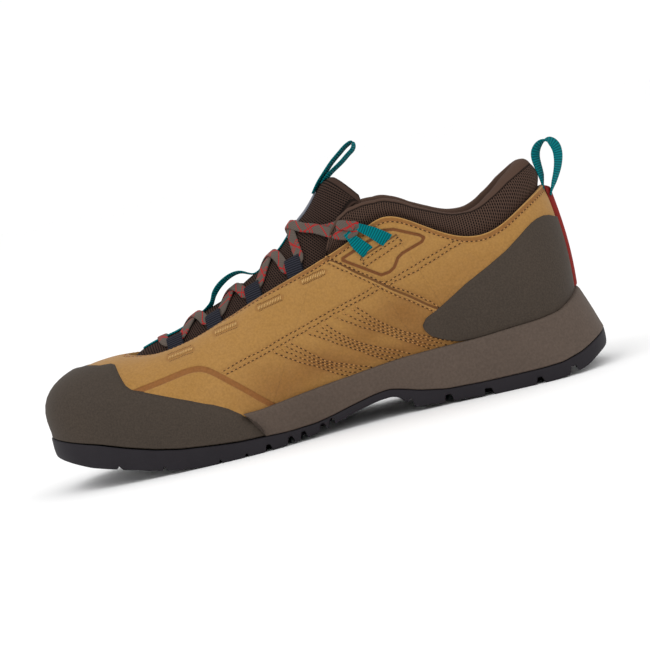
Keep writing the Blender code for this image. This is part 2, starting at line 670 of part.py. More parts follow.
def tongue_place(s):
    """Place t on the tongue whose ridge lies at s."""
    t = np.linspace(0, 1, 200)
    ridge = [tongue_surface(k, [0.0])[0][0][0] for k in t]
    return float(np.interp(s, ridge, t))


def make_tongue():
    shares = np.linspace(-1, 1, 9)
    rings = []
    for t in np.linspace(0, 1, 24):
        top, up, thickness = tongue_surface(t, shares)
        slope = np.abs(shares) ** 3
        low = top - np.outer(thickness * (1 - 0.75 * slope), up)
        rings.append(np.vstack([top, low[::-1]]))
    rings_solid("tongue", rings, "mesh_brown")


def make_tongue_trim():
    """Grey patch, teal keeper strip with its bow, and the pull loop on the tongue's ridge."""
    patch = []
    shares = (-0.5, -0.25, 0, 0.25, 0.5)
    for t in np.linspace(tongue_place(153.0), tongue_place(164.5), 5):
        low, _, _ = tongue_surface(t, shares, GAP + 0.2)
        top, _, _ = tongue_surface(t, shares, 1.5)
        patch.append(np.vstack([low, top[::-1]]))
    rings_solid("tongue_patch", patch, "patch_grey")

    ridge = [(s, tongue_surface(tongue_place(s), [0.0], 1.5)[0][0][2])
             for s in (59, 68, 77, 86, 95)]
    bow = [(99.4, 77.8), (102.2, 82.4), (107.0, 87.2), (113.4, 90.3), (119.0, 90.6)]
    tail = [(s, tongue_surface(tongue_place(s), [0.0], 1.6)[0][0][2])
            for s in (125, 132, 139, 146, 151)]
    path = smooth_path([(s, 0, z) for s, z in ridge + bow + tail], 34)
    ribbon("tongue_webbing", path, [(0, 1, 0)] * len(path), WEBBING_WIDTH, 0.9,
           "webbing_teal")

    seat = np.array([(165.4, 0, 121.9), (167.2, 0, 124.6)], float)
    front = [(170.6, 0, 128.6), (175.6, 0, 134.2), (181.2, 0, 139.6), (187.6, 0, 143.4)]
    back = [(192.0, 0, 143.8), (191.6, 0, 140.2), (187.0, 0, 135.6), (181.6, 0, 131.8)]
    path = smooth_path(list(seat) + front + back, 22)
    ribbon("tongue_loop", path, [(0, 1, 0)] * len(path), 8.0, 1.0, "webbing_teal")


def make_heel_loop():
    """Webbing loop over the back seam, turned a little toward the viewer at its top."""
    route = [(284.7, 0, 98.6), (285.1, 0, 104.0), (284.6, 0, 110.0), (285.0, 0, 115.4), (288.4, 0, 119.8),
             (292.8, 0, 120.8), (296.4, 0, 117.8), (297.4, 0, 111.6), (295.8, 0, 105.0),
             (292.4, 0, 98.2), (289.4, 0, 92.4)]
    path = smooth_path(route, 26)
    turn = np.sin(np.linspace(0, math.pi, len(path))) ** 0.7 * math.radians(26)
    across = np.column_stack([np.sin(turn), np.cos(turn), turn * 0])
    ribbon("heel_loop", path, across, 9.0, 1.1, "webbing_teal")


# Lacing

def edge_point(side, s, v=1.0, offset=0.0):
    point, = skin_rows([loop_q(side, s, "edge")], [v], offset)
    return point[0, 0]


def make_tabs():
    """Folded webbing tabs that reach from the leather's edge toward the tongue's ridge."""
    for side, label in ((-1, "medial"), (1, "lateral")):
        for k, s in enumerate(TAB_STATIONS):
            edge = edge_point(side, s)
            along = edge_point(side, s + 3) - edge_point(side, s - 3)
            inward = np.array((0, -side, 0)) * (TAB_THICKNESS / 2 + GAP + 0.3)
            start = edge + inward + np.array((0, 0, 0.5))
            end = np.array((s - 0.5, edge[1] - side * TAB_LENGTH, 0))
            end[2] = tongue_top_over(end[0], end[1]) + TAB_THICKNESS / 2 + 1.8
            middle = (start + end) / 2 + np.array((0, 0, 2.2))
            path = np.array([start, middle, end])
            ribbon(f"lace_tab_{label}_{k + 1}", path, [along] * 3, TAB_WIDTH,
                   TAB_THICKNESS, "webbing_dark")


def tongue_grid():
    shares = np.linspace(-1, 1, 81)
    return np.array([tongue_surface(t, shares)[0] for t in np.linspace(0, 1, 80)])


def tongue_top_over(s, y):
    """Height of the tongue's top surface over a point of the plan."""
    line = np.array([row[np.argmin(np.abs(row[:, 1] - y))] for row in TONGUE_GRID])
    return float(np.interp(s, line[:, 0], line[:, 2]))


def tongue_slope(s, y):
    return (tongue_top_over(s + 3, y) - tongue_top_over(s - 3, y)) / 6


def make_ankle_loops():
    """Two webbing strips each side that run from a slit in the quarter over the throat's edge."""
    for side, label in ((-1, "medial"), (1, "lateral")):
        for rank, strip in (("lower", ((186.8, 86.2), (182.8, 92.0), (179.0, 97.4))),
                            ("upper", ((198.0, 90.2), (191.2, 95.8), (185.6, 100.2)))):
            path = []
            for s, z in strip:
                path.append(point_on_side(side, s, z, 1.3))
            step = path[-1] - path[-2]
            path.append(path[-1] + step * 0.45 + np.array((0, side * 0.6, 0.4)))
            across = np.array([(0.8, 0, 0.6)] * len(path))
            ribbon(f"ankle_loop_{label}_{rank}", path, across, (6.6, 6.6, 5.6, 4.2), 1.2,
                   "webbing_teal")


def point_on_side(side, s, z, offset):
    """Point of the skin seen at (s, z) from the side; above the edge it carries straight on."""
    q = np.linspace(loop_q(side, s - 30, "edge"), loop_q(side, min(s + 30, 284), "edge"), 61)
    v = np.linspace(0, 1, 41)
    grid, = skin_rows(q, v, offset)
    gap = np.hypot(grid[:, :, 0] - s, grid[:, :, 2] - z)
    best = grid[np.unravel_index(np.argmin(gap), gap.shape)]
    return np.array((s, best[1], z))


def lace_seat(s, y):
    """Height of a lace's middle over the tongue and over the keeper strip on its ridge."""
    base = tongue_top_over(s, y)
    if abs(y) < WEBBING_WIDTH / 2 + 3.5 and not BOW_START < s < BOW_END:
        base = max(base, tongue_top_over(s, 0.0) + 1.6)
    sideways = (tongue_top_over(s, y + 2) - tongue_top_over(s, y - 2)) / 4
    return base + LACE_LIFT * math.hypot(1, tongue_slope(s, y), sideways)


def make_lace():
    """Lace between the tabs as two zigzags joined where they cross, clear of what they cross."""
    def station(side, k):
        if k < len(TAB_STATIONS):
            s = TAB_STATIONS[k]
            y = side * (abs(edge_point(side, TAB_STATIONS[k])[1]) - TAB_LENGTH - GAP - 0.6
                        - LACE_WIDTH / 2)
            return np.array((s, y, lace_seat(s, y) + 0.4))
        return np.array(LACE_TOP_END) * (1, side, 1)

    def crossing(a, b):
        points = []
        for f in np.linspace(0, 1, 7)[1:-1]:
            p = a * (1 - f) + b * f
            p[2] = max(p[2], lace_seat(p[0], p[1]))
            points.append(p)
        return points

    tops = len(TAB_STATIONS)
    for name, bar in (("lace", True), ("lace_second", False)):
        side = 1
        route = [station(side, 0)]
        if bar:
            low = station(-side, 0)
            route += crossing(route[0], low) + [low]
            side = -side
        for k in range(1, tops + 1):
            target = station(-side, k)
            if k < tops:
                route += crossing(route[-1], target)
            else:
                route += [np.array(LACE_TOP_RISE) * (1, side, 1), np.array(LACE_TOP_CROSSING),
                          np.array(LACE_TOP_SIDE) * (1, -side, 1)]
            route.append(target)
            side = -side
        path = smooth_path(route, 50)
        run = np.gradient(path, axis=0)
        across = np.array([np.cross(r, (-tongue_slope(p[0], p[1]), 0, 1)) for r, p in zip(run, path)])
        body = ribbon(name, path, across, LACE_WIDTH, LACE_THICKNESS, "lace_grey")
        if bar:
            first = body
        else:
            body.hide_render = True
            body.display_type = "WIRE"
            boolean(first, body, "UNION")


def outline_centre():
    """Middle of the sole's plan, which becomes the frame's origin."""
    rim = sole_outline(np.linspace(0, 2, 800, endpoint=False))
    return (rim.min(axis=0) + rim.max(axis=0)) / 2


CENTRE = outline_centre()
TONGUE_GRID = tongue_grid()
clear_scene()
make_outsole()
make_midsole()
make_insole()
make_upper()
make_rand()
make_heel_patches()
make_heel_strip()
make_collar()
make_tongue()
make_tongue_trim()
make_heel_loop()
make_tabs()
make_ankle_loops()
make_lace()
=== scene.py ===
# Looks of an approach shoe for the right foot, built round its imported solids.
# Tables are in millimetres: s runs back from the toe's foremost point, y to the outer side and
# z up from the floor. Meshes are made in metres, with +X toward the heel.

import math

import bmesh
import bpy
import numpy as np
from mathutils import Matrix, Vector, kdtree


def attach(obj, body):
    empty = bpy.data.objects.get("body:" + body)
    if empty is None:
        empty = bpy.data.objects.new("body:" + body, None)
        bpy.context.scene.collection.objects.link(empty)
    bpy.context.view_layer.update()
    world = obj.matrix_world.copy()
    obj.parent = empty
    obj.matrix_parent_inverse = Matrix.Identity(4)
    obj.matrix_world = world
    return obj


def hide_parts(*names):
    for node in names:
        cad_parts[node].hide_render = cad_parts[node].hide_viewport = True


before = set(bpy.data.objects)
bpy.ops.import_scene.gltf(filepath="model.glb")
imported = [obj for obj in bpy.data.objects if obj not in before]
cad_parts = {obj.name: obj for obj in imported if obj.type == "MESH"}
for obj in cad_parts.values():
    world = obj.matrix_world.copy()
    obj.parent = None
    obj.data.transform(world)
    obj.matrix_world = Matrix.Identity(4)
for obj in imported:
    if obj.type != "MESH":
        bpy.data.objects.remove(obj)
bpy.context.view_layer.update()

MM = 0.001


# The last. The real shoe is pulled over a foot-shaped form, and every piece here follows that
# form: a loop of ribs that climb from the foot line to the edge of the throat or the collar.
# q is 0 at the toe, 1 at the heel and runs on along the outer side; v is the share of a rib.

RIBS = (
    # foot_s, medial, lateral, edge_s, edge_y, edge_z, square, bulge, flare
    (3.9, -10.0, -10.0, 50.0, 0.0, 62.0, 3.0, 1.4, 2.8),
    (7.5, -25.5, 7.5, 50.8, 4.5, 62.0, 3.0, 1.4, 2.8),
    (16.0, -36.5, 21.0, 53.0, 8.5, 61.6, 2.8, 1.2, 2.8),
    (29.0, -43.0, 31.5, 57.5, 11.5, 60.8, 2.6, 1.0, 2.8),
    (46.0, -46.5, 40.0, 65.0, 14.0, 60.0, 2.4, 0.8, 2.8),
    (66.0, -48.6, 46.5, 76.0, 16.5, 61.0, 2.2, 0.8, 2.8),
    (86.0, -49.6, 50.2, 90.0, 18.5, 64.2, 2.1, 0.8, 2.8),
    (105.0, -48.6, 51.5, 106.0, 20.5, 69.6, 1.9, 1.0, 2.9),
    (125.0, -43.6, 50.0, 124.0, 23.0, 76.2, 1.7, 2.0, 3.0),
    (146.0, -36.6, 46.0, 146.0, 25.5, 83.2, 1.5, 3.4, 3.4),
    (168.0, -32.0, 41.5, 167.0, 27.5, 90.0, 1.2, 4.4, 4.0),
    (188.0, -30.4, 38.8, 184.0, 29.5, 97.0, 1.0, 4.6, 4.6),
    (205.0, -30.6, 37.8, 199.0, 32.0, 102.4, 1.0, 4.4, 5.0),
    (221.0, -32.0, 37.2, 214.0, 34.5, 96.0, 1.0, 4.0, 5.4),
    (238.0, -33.6, 36.8, 233.0, 35.2, 84.6, 1.0, 3.6, 6.0),
    (256.0, -34.0, 35.4, 251.0, 33.0, 82.4, 1.0, 3.6, 7.2),
    (272.0, -30.5, 31.0, 268.0, 26.5, 89.6, 1.0, 3.8, 9.6),
    (282.0, -20.5, 20.5, 280.0, 15.5, 95.6, 1.0, 3.2, 12.0),
    (286.2, 0.0, 0.0, 285.2, 0.0, 98.0, 1.0, 2.8, 13.2),
)
FOOT_BED = ((0, 33.6), (8, 31.2), (20, 27.8), (40, 22.8), (60, 18.8), (80, 16.2), (100, 15.2),
            (120, 15.8), (150, 18.6), (180, 21.6), (210, 23.6), (240, 24.6), (270, 25.2), (300, 26.4))
GAP = 0.3
WALL = 2.4


def cubic(knots, values, at, period=None):
    """Value of the smooth curve through the knots; a period closes it on itself."""
    knots = np.asarray(knots, float)
    values = np.asarray(values, float)
    at = np.asarray(at, float)
    if period:
        knots = np.append(knots, knots[0] + period)
        values = np.append(values, values[:1], axis=0)
        at = knots[0] + np.mod(at - knots[0], period)
    count = len(knots)
    step = np.diff(knots)
    slope = (np.diff(values, axis=0).T / step).T
    matrix = np.zeros((count, count))
    target = np.zeros(values.shape)
    for k in range(1, count - 1):
        matrix[k, k - 1:k + 2] = (step[k], 2 * (step[k - 1] + step[k]), step[k - 1])
        target[k] = 3 * (step[k] * slope[k - 1] + step[k - 1] * slope[k])
    if period:
        matrix[0, 0], matrix[0, -1] = 1, -1
        matrix[-1, [0, 1, -2, -1]] = (0, step[-1], 0, 2 * step[0])
        matrix[-1, 0] += 2 * step[-1]
        matrix[-1, -2] += step[0]
        target[-1] = 3 * (step[-1] * slope[0] + step[0] * slope[-1])
    else:
        matrix[0, :2] = (2, 1)
        matrix[-1, -2:] = (1, 2)
        target[0], target[-1] = 3 * slope[0], 3 * slope[-1]
    tangent = np.linalg.solve(matrix, target)
    cell = np.clip(np.searchsorted(knots, at, side="right") - 1, 0, count - 2)
    width = step[cell]
    f = (at - knots[cell]) / width
    extra = (np.newaxis,) * (values.ndim - 1)
    f, width = f[(...,) + extra], width[(...,) + extra]
    return ((1 + 2 * f) * (1 - f) ** 2 * values[cell] + f * (1 - f) ** 2 * width * tangent[cell]
            + f * f * (3 - 2 * f) * values[cell + 1] + f * f * (f - 1) * width * tangent[cell + 1])


def height(line, s):
    """Height of one of the (s, z) lines, eased over its corners."""
    knots, values = np.array(line, float).T
    s = np.asarray(s, float)
    return sum(np.interp(s + shift, knots, values) for shift in (-1.5, 0.0, 1.5)) / 3


def rib_loop():
    table = np.array(RIBS)
    sides = []
    for side, foot in ((-1, 1), (1, 2)):
        sides.append(np.column_stack([table[:, 0], table[:, foot], table[:, 3],
                                      side * table[:, 4], table[:, 5:9]]))
    reach = np.zeros(len(table))
    for rows in sides:
        foot = np.linalg.norm(np.diff(rows[:, 0:2], axis=0), axis=1)
        edge = np.linalg.norm(np.diff(rows[:, 2:5], axis=0), axis=1)
        reach[1:] += np.cumsum(foot + edge)
    reach /= reach[-1]
    return np.concatenate([reach, 2 - reach[-2:0:-1]]), np.vstack([sides[0], sides[1][-2:0:-1]])


LOOP_KNOTS, LOOP_ROWS = rib_loop()


def ribs_at(q):
    """Rows of the rib table at q, and the outward directions at the foot and at the edge."""
    q = np.asarray(q, float)
    rows = cubic(LOOP_KNOTS, LOOP_ROWS, q, period=2.0)
    run = (cubic(LOOP_KNOTS, LOOP_ROWS, q + 0.002, period=2.0)
           - cubic(LOOP_KNOTS, LOOP_ROWS, q - 0.002, period=2.0))
    outward = []
    for a in (0, 2):
        turned = np.column_stack([run[:, a + 1], -run[:, a]])
        outward.append(turned / np.linalg.norm(turned, axis=1)[:, None])
    return rows, outward[0], outward[1]


def raw_skin(q, v):
    """Outer skin of the upper; v below zero is millimetres under the foot line."""
    rows, outward, _ = ribs_at(q)
    foot_z = height(FOOT_BED, rows[:, 0]) + GAP
    theta = np.linspace(0, 1, 81) ** 1.5 * math.pi / 2
    power = (2 / rows[:, 5])[:, None]
    across = 1 - np.clip(np.cos(theta)[None, :], 0, 1) ** power
    up = np.sin(theta)[None, :] ** power
    swell = np.sin(math.pi * up) * rows[:, 6][:, None]
    points = np.empty((len(q), len(theta), 3))
    for axis in (0, 1):
        span = rows[:, 2 + axis] - rows[:, axis]
        points[:, :, axis] = (rows[:, axis, None] + across * span[:, None]
                              + swell * outward[:, axis, None])
    points[:, :, 2] = foot_z[:, None] + up * (rows[:, 4] - foot_z)[:, None]
    travelled = np.zeros(points.shape[:2])
    travelled[:, 1:] = np.cumsum(np.linalg.norm(np.diff(points, axis=1), axis=2), axis=1)
    travelled /= travelled[:, -1:]
    skin = np.empty(v.shape + (3,))
    for k in range(len(q)):
        for axis in range(3):
            skin[k, :, axis] = np.interp(np.maximum(v[k], 0), travelled[k], points[k, :, axis])
    skin[:, :, 2] += np.minimum(v, 0)
    return skin


def skin_and_normal(q, v):
    q = np.asarray(q, float)
    v = np.broadcast_to(np.asarray(v, float), (len(q), np.shape(v)[-1])).copy()
    along = raw_skin(q + 0.004, v) - raw_skin(q - 0.004, v)
    top, low = v + 0.02, v - 0.02
    top, low = np.where(top > 1, 1, top), np.where(top > 1, 0.96, low)
    top, low = np.where(v < 0, np.minimum(v + 0.5, 0), top), np.where(v < 0, v - 0.5, low)
    low = np.where((v >= 0) & (low < 0), v * 0, low)
    normal = np.cross(along, raw_skin(q, top) - raw_skin(q, low))
    return raw_skin(q, v), normal / np.linalg.norm(normal, axis=2)[:, :, None]


def share_at_height(q, z):
    """Share of each rib's length where it reaches the height z."""
    v = np.linspace(0, 1, 120)
    grid = raw_skin(q, np.broadcast_to(v, (len(q), len(v))))
    return np.array([np.interp(z[k], grid[k, :, 2], v) for k in range(len(q))])


def loop_q(side, s, line=0):
    """q of the rib whose foot (line 0) or whose top edge (line 2) lies at s on one side."""
    q = np.linspace(0.0, 1.0, 800)
    q = q if side < 0 else 2 - q
    values = np.maximum.accumulate(ribs_at(q)[0][:, line])
    return float(np.interp(s, values, q))


def sole_outline(q, inset=0.0):
    rows, outward, _ = ribs_at(q)
    return rows[:, 0:2] + outward * (rows[:, 7] - inset)[:, None]


rim = sole_outline(np.linspace(0, 2, 800, endpoint=False))
CENTRE = np.append((rim.min(axis=0) + rim.max(axis=0)) / 2, 0.0)


# The view. The shoe is seen from its inner side through a long lens, a little from above and
# rolled, so that the sole runs down toward the toe as it does in the photograph.

ROLL = math.radians(13.6232)
RISE = math.radians(5.0)
AIM = (155.6145, 0.0, 52.4968)
DISTANCE = 1300.0
LENS = 135.197

right = Vector((math.cos(ROLL), 0, -math.sin(ROLL)))
back = Vector((math.sin(ROLL) * math.sin(RISE), -math.cos(RISE), math.cos(ROLL) * math.sin(RISE)))
above = Vector((math.sin(ROLL) * math.cos(RISE), math.sin(RISE), math.cos(ROLL) * math.cos(RISE)))
camera = bpy.data.objects.new("camera", bpy.data.cameras.new("camera"))
camera.data.sensor_width = 36.0
camera.data.lens = LENS
turn = Matrix((right, above, back)).transposed().to_4x4()
camera.matrix_world = Matrix.Translation((Vector(AIM) - Vector(CENTRE) + back * DISTANCE) * MM) @ turn
bpy.context.scene.collection.objects.link(camera)
bpy.context.scene.camera = camera


# The studio: a pale floor and a bright even surround, with one soft lamp above the toe and one
# beside the heel, on the side that the camera sees.

def linear(text):
    """Linear colour of an sRGB hex value."""
    parts = [int(text[k:k + 2], 16) / 255 for k in (1, 3, 5)]
    return tuple(c / 12.92 if c <= 0.04045 else ((c + 0.055) / 1.055) ** 2.4 for c in parts) + (1.0,)


def add(tree, kind, sockets=None, **settings):
    """Adds a node; sockets maps an input to a value or to another node's output."""
    node = tree.nodes.new(kind)
    for name, value in settings.items():
        setattr(node, name, value)
    for key, value in (sockets or {}).items():
        if isinstance(value, bpy.types.NodeSocket):
            tree.links.new(value, node.inputs[key])
        else:
            node.inputs[key].default_value = value
    return node


def start_material(name, roughness, **fixed):
    """A new material with its shader; fixed gives values that are the same all over."""
    made = bpy.data.materials.new(name)
    made.use_nodes = True
    shader = made.node_tree.nodes["Principled BSDF"]
    shader.inputs["Roughness"].default_value = roughness
    for key, value in fixed.items():
        shader.inputs[key.replace("_", " ")].default_value = value
    return made, made.node_tree, shader


def lamp(name, size, power, place):
    item = bpy.data.objects.new(name, bpy.data.lights.new(name, "AREA"))
    item.data.shape = "RECTANGLE"
    item.data.size, item.data.size_y = size
    item.data.energy = power
    item.location = place
    item.rotation_euler = (-Vector(place) + Vector((0, 0, 0.05))).to_track_quat("-Z", "Y").to_euler()
    bpy.context.scene.collection.objects.link(item)


bpy.context.scene.view_settings.view_transform = "Standard"
surround = bpy.data.worlds.new("studio")
surround.use_nodes = True
surround.node_tree.nodes["Background"].inputs["Color"].default_value = (1.0, 1.0, 1.0, 1.0)
surround.node_tree.nodes["Background"].inputs["Strength"].default_value = 1.03
bpy.context.scene.world = surround
lamp("lamp_above_toe", (1.0, 1.0), 6.0, (-0.7, -0.7, 1.4))
lamp("lamp_front", (1.6, 0.9), 4.0, (1.5, -1.5, 0.8))

floor_mesh = bpy.data.meshes.new("floor")
floor_mesh.from_pydata([(-6, -4, 0), (6, -4, 0), (6, 8, 0), (-6, 8, 0)], [], [(0, 1, 2, 3)])
floor = bpy.data.objects.new("floor", floor_mesh)
paper, tree, shader = start_material("paper_backdrop", 0.95)
shader.inputs["Base Color"].default_value = linear("#fcfcfc")
floor.data.materials.append(paper)
bpy.context.scene.collection.objects.link(floor)


# The upper: one piece of waxed nubuck with a fabric lining, cut in panels that are lapped and
# sewn. Marks are pressed into it, needle rows pull it down, and the leather swells between them.

SIDE_LINES = {
    "panel_seam": ((160.5, 90.2), (163.1, 88.7), (169.4, 85.2), (175.9, 79.6), (186.6, 71.3),
                   (194.8, 64.7), (203.1, 58.7), (211.2, 52.3), (216.0, 49.2)),
    "panel_above": ((165.0, 89.8), (175.9, 81.2), (187.1, 72.5), (195.0, 66.6), (205.3, 59.8),
                    (214.9, 52.0)),
    "panel_below": ((162.9, 87.1), (175.1, 78.3), (186.4, 69.5), (196.9, 60.8), (205.3, 55.1),
                    (212.7, 49.0)),
    "tee_upper": ((232.0, 82.4), (220.4, 78.4), (213.5, 76.3), (205.3, 73.6), (196.9, 71.0),
                  (191.4, 69.6)),
    "tee_lower": ((235.0, 80.7), (219.8, 75.5), (205.9, 71.0), (197.0, 69.0), (193.3, 68.0)),
    "slit_rows": ((182.7, 82.8), (203.8, 90.7), (205.3, 87.9), (183.9, 80.0), (182.7, 82.8)),
    "long_upper": ((99.3, 45.5), (111.4, 48.5), (126.6, 52.3), (138.7, 55.7), (154.0, 60.0),
                   (163.1, 62.3), (170.8, 64.5), (178.3, 66.4), (185.4, 69.0)),
    "long_lower": ((100.6, 43.7), (114.5, 46.7), (128.6, 50.2), (143.1, 54.3), (156.6, 58.1),
                   (164.1, 60.4), (172.4, 62.4), (180.0, 64.4), (187.6, 67.0)),
}
FAN_ROWS = (
    ((174.3, 60.7), (181.3, 53.3), (188.9, 46.6), (202.5, 38.8), (219.6, 31.2)),
    ((171.9, 59.9), (178.9, 52.6), (187.5, 45.8), (201.6, 37.6), (213.7, 31.2)),
    ((167.2, 58.9), (176.1, 52.1), (186.4, 45.0), (198.6, 37.0), (210.1, 30.9)),
    ((162.6, 58.0), (172.7, 51.2), (185.2, 44.0), (196.7, 36.3), (206.9, 30.2)),
    ((156.3, 55.9), (163.5, 48.6), (172.8, 41.5), (182.9, 36.4), (194.1, 31.2)),
    ((153.8, 55.1), (161.5, 48.0), (171.6, 40.9), (180.7, 35.7), (191.0, 30.2)),
    ((150.6, 54.1), (160.3, 47.0), (170.4, 40.1), (178.4, 34.9), (187.6, 29.8)),
    ((147.0, 53.3), (157.9, 46.2), (169.2, 39.1), (176.6, 34.1), (184.2, 29.4)),
    ((136.9, 50.7), (145.6, 43.2), (152.6, 37.4), (161.7, 33.2), (173.1, 28.7)),
    ((134.0, 50.0), (143.1, 42.7), (151.4, 36.4), (160.7, 32.0), (170.0, 28.0)),
    ((131.2, 49.0), (140.3, 42.2), (150.4, 35.6), (158.1, 30.9), (166.8, 27.0)),
    ((127.6, 48.3), (137.2, 41.5), (149.0, 34.6), (155.7, 30.0), (162.6, 26.4)),
)
PRESSED_OUTLINE = ((197.1, 95.8), (202.3, 95.3), (214.8, 89.3), (216.7, 87.5), (215.1, 85.7),
                   (204.1, 82.3), (201.2, 80.5), (198.1, 75.9), (195.1, 74.3), (190.8, 73.8),
                   (173.2, 85.5), (173.2, 86.5), (179.3, 88.7), (191.8, 93.4), (197.1, 95.8))
PRESSED_STRIPE = ((45.0, 43.4), (51.7, 44.9), (64.1, 46.8), (74.6, 48.4), (83.8, 49.5), (89.9, 48.7),
                  (93.9, 46.5), (100.2, 41.3), (108.6, 33.8), (117.3, 25.4), (122.0, 21.0))
BAR_TACKS = (((73.6, 57.3), (85.9, 59.2)), ((100.1, 64.1), (111.3, 66.3)),
             ((124.7, 71.7), (137.2, 74.3)), ((150.0, 79.6), (162.2, 81.9)))
SLIT = ((182.5, 84.8), (203.1, 92.2))
PAINTED_SHADE_PATCHES = (
    # s, z, half length, half height and strength of each browner patch of painted shade
    (196, 55, 13, 9, 0.5), (176, 46, 12, 8, 0.45), (150, 38, 16, 8, 0.5), (203, 42, 12, 10, 0.45),
    (222, 50, 12, 12, 0.4), (125, 28, 18, 9, 0.5), (240, 66, 22, 9, 0.2), (120, 40, 14, 8, 0.2),
    (188, 33, 34, 5, 0.5),
)
EDGE_ROW = 2.7
TOP_EDGE_BAND = 2.2
SWELL = 0.5
NEEDLE_PULL = 0.25
SEAM_STEP = 0.6
PRESSED_DEPTH = 0.4
TACK_PULL = 0.2
EDGE_TURN = 0.35
CREASE_S, CREASE_Z, CREASE_LEAN, CREASE_WIDTH, CREASE_HEIGHT = 96, 45, 0.45, 9, 0.25
LINE_STEP = 0.8
UPPER_COLUMNS = 840
UPPER_ROWS = 96


def way_along(points):
    """Distance travelled along a row of points, at each of them."""
    return np.append(0, np.cumsum(np.linalg.norm(np.diff(points, axis=0), axis=1)))


def smooth_line(points):
    points = np.asarray(points, float)
    knots = way_along(points)
    return cubic(knots, points, np.linspace(0, knots[-1], max(3, int(knots[-1] / LINE_STEP))))


def distance_to(line, s, z):
    """Distance of each place (s, z) from a line, and the side it lies on (+1 above it)."""
    best = np.full(s.shape, 1e9)
    sign = np.ones(s.shape)
    for (a, b), (c, d) in zip(line[:-1], line[1:]):
        run, climb = c - a, d - b
        f = np.clip(((s - a) * run + (z - b) * climb) / (run * run + climb * climb + 1e-12), 0, 1)
        gap = np.hypot(s - a - f * run, z - b - f * climb)
        nearer = gap < best
        best = np.where(nearer, gap, best)
        sign = np.where(nearer, np.sign(run * (z - b) - climb * (s - a) + 1e-12), sign)
    return best, sign


def ease(x, low, high):
    f = np.clip((x - low) / (high - low), 0, 1)
    return f * f * (3 - 2 * f)


def signed_gap(line, s, z):
    """Distance from a line, negative below it; past the ends of an open line it stays positive."""
    gap, sign = distance_to(line, s, z)
    if math.dist(line[0], line[-1]) > 0.1:
        for tip, inner in ((line[0], line[1]), (line[-1], line[-2])):
            past = (s - tip[0]) * (tip[0] - inner[0]) + (z - tip[1]) * (tip[1] - inner[1]) > 0
            at_tip = np.abs(np.hypot(s - tip[0], z - tip[1]) - gap) < 1e-6
            sign = np.where(past & at_tip, 1.0, sign)
    return gap * sign


def leather_relief(grid, from_edge):
    """Height in millimetres of the leather at each place of its skin, and the distances from the
    marks that its material draws."""
    s, z = grid[:, :, 0], grid[:, :, 2]
    rows = [smooth_line(line) for name, line in SIDE_LINES.items()
            if name not in ("panel_seam", "slit_rows")]
    near = np.abs(from_edge - EDGE_ROW)
    for line in rows + [smooth_line(line) for line in FAN_ROWS]:
        near = np.minimum(near, distance_to(line[::3], s, z)[0])
    near = np.minimum(near, distance_to(np.array(SIDE_LINES["slit_rows"]), s, z)[0])
    lift = SWELL * (1 - np.exp(-(near / 3.2) ** 1.6)) - NEEDLE_PULL * np.exp(-(near / 0.62) ** 2)

    seam = signed_gap(smooth_line(SIDE_LINES["panel_seam"])[::2], s, z)
    lift += np.where(seam < 0, SEAM_STEP * np.exp(seam / 3.0) * ease(-seam, 0.0, 0.4),
                     -NEEDLE_PULL * np.exp(-seam / 1.2))
    slit = signed_gap(np.array(SLIT), s, z)
    outline = signed_gap(np.array(PRESSED_OUTLINE), s, z)
    stripe = signed_gap(smooth_line(PRESSED_STRIPE)[::2], s, z)
    lift -= PRESSED_DEPTH * (1 - ease(np.abs(outline), 0.45, 1.0))
    lift -= PRESSED_DEPTH * (1 - ease(np.abs(stripe), 1.15, 1.7)) + PRESSED_DEPTH * np.exp(-(slit / 0.6) ** 2)
    lift += 0.25 * np.exp(-((np.abs(outline) - 1.7) / 0.9) ** 2)

    tacks = np.full(s.shape, 1e9)
    for line in BAR_TACKS:
        tacks = np.minimum(tacks, distance_to(np.array(line), s, z)[0])
    lift -= TACK_PULL * (1 - ease(tacks, 1.0, 2.8))
    lift -= EDGE_TURN * (1 - ease(from_edge, TOP_EDGE_BAND - 0.7, TOP_EDGE_BAND + 0.2))
    bend = (s - CREASE_S - CREASE_LEAN * (z - CREASE_Z)) / CREASE_WIDTH
    lift += CREASE_HEIGHT * np.exp(-bend ** 2) * np.sin((s + z) / 8.0)
    # Painted shade: browner along the needle rows and in patches over the waist and quarter.
    painted_shade = 0.12 * np.exp(-(near / 1.2) ** 2)
    for at_s, at_z, wide, high, amount in PAINTED_SHADE_PATCHES:
        painted_shade += amount * np.exp(-((s - at_s) / wide) ** 2 - ((z - at_z) / high) ** 2)
    marks = {"edge_gap": from_edge, "seam_gap": seam, "outline_gap": outline, "stripe_gap": stripe,
             "slit_gap": slit, "tack_gap": tacks}
    tones = {key: np.clip(values, -8, 8) for key, values in marks.items()}
    tones["painted_shade"] = np.clip(painted_shade, 0, 1)
    return lift, tones


def place(points):
    """Shoe millimetres to metres in the frame centred on the sole."""
    return (np.asarray(points, float) - CENTRE) * MM


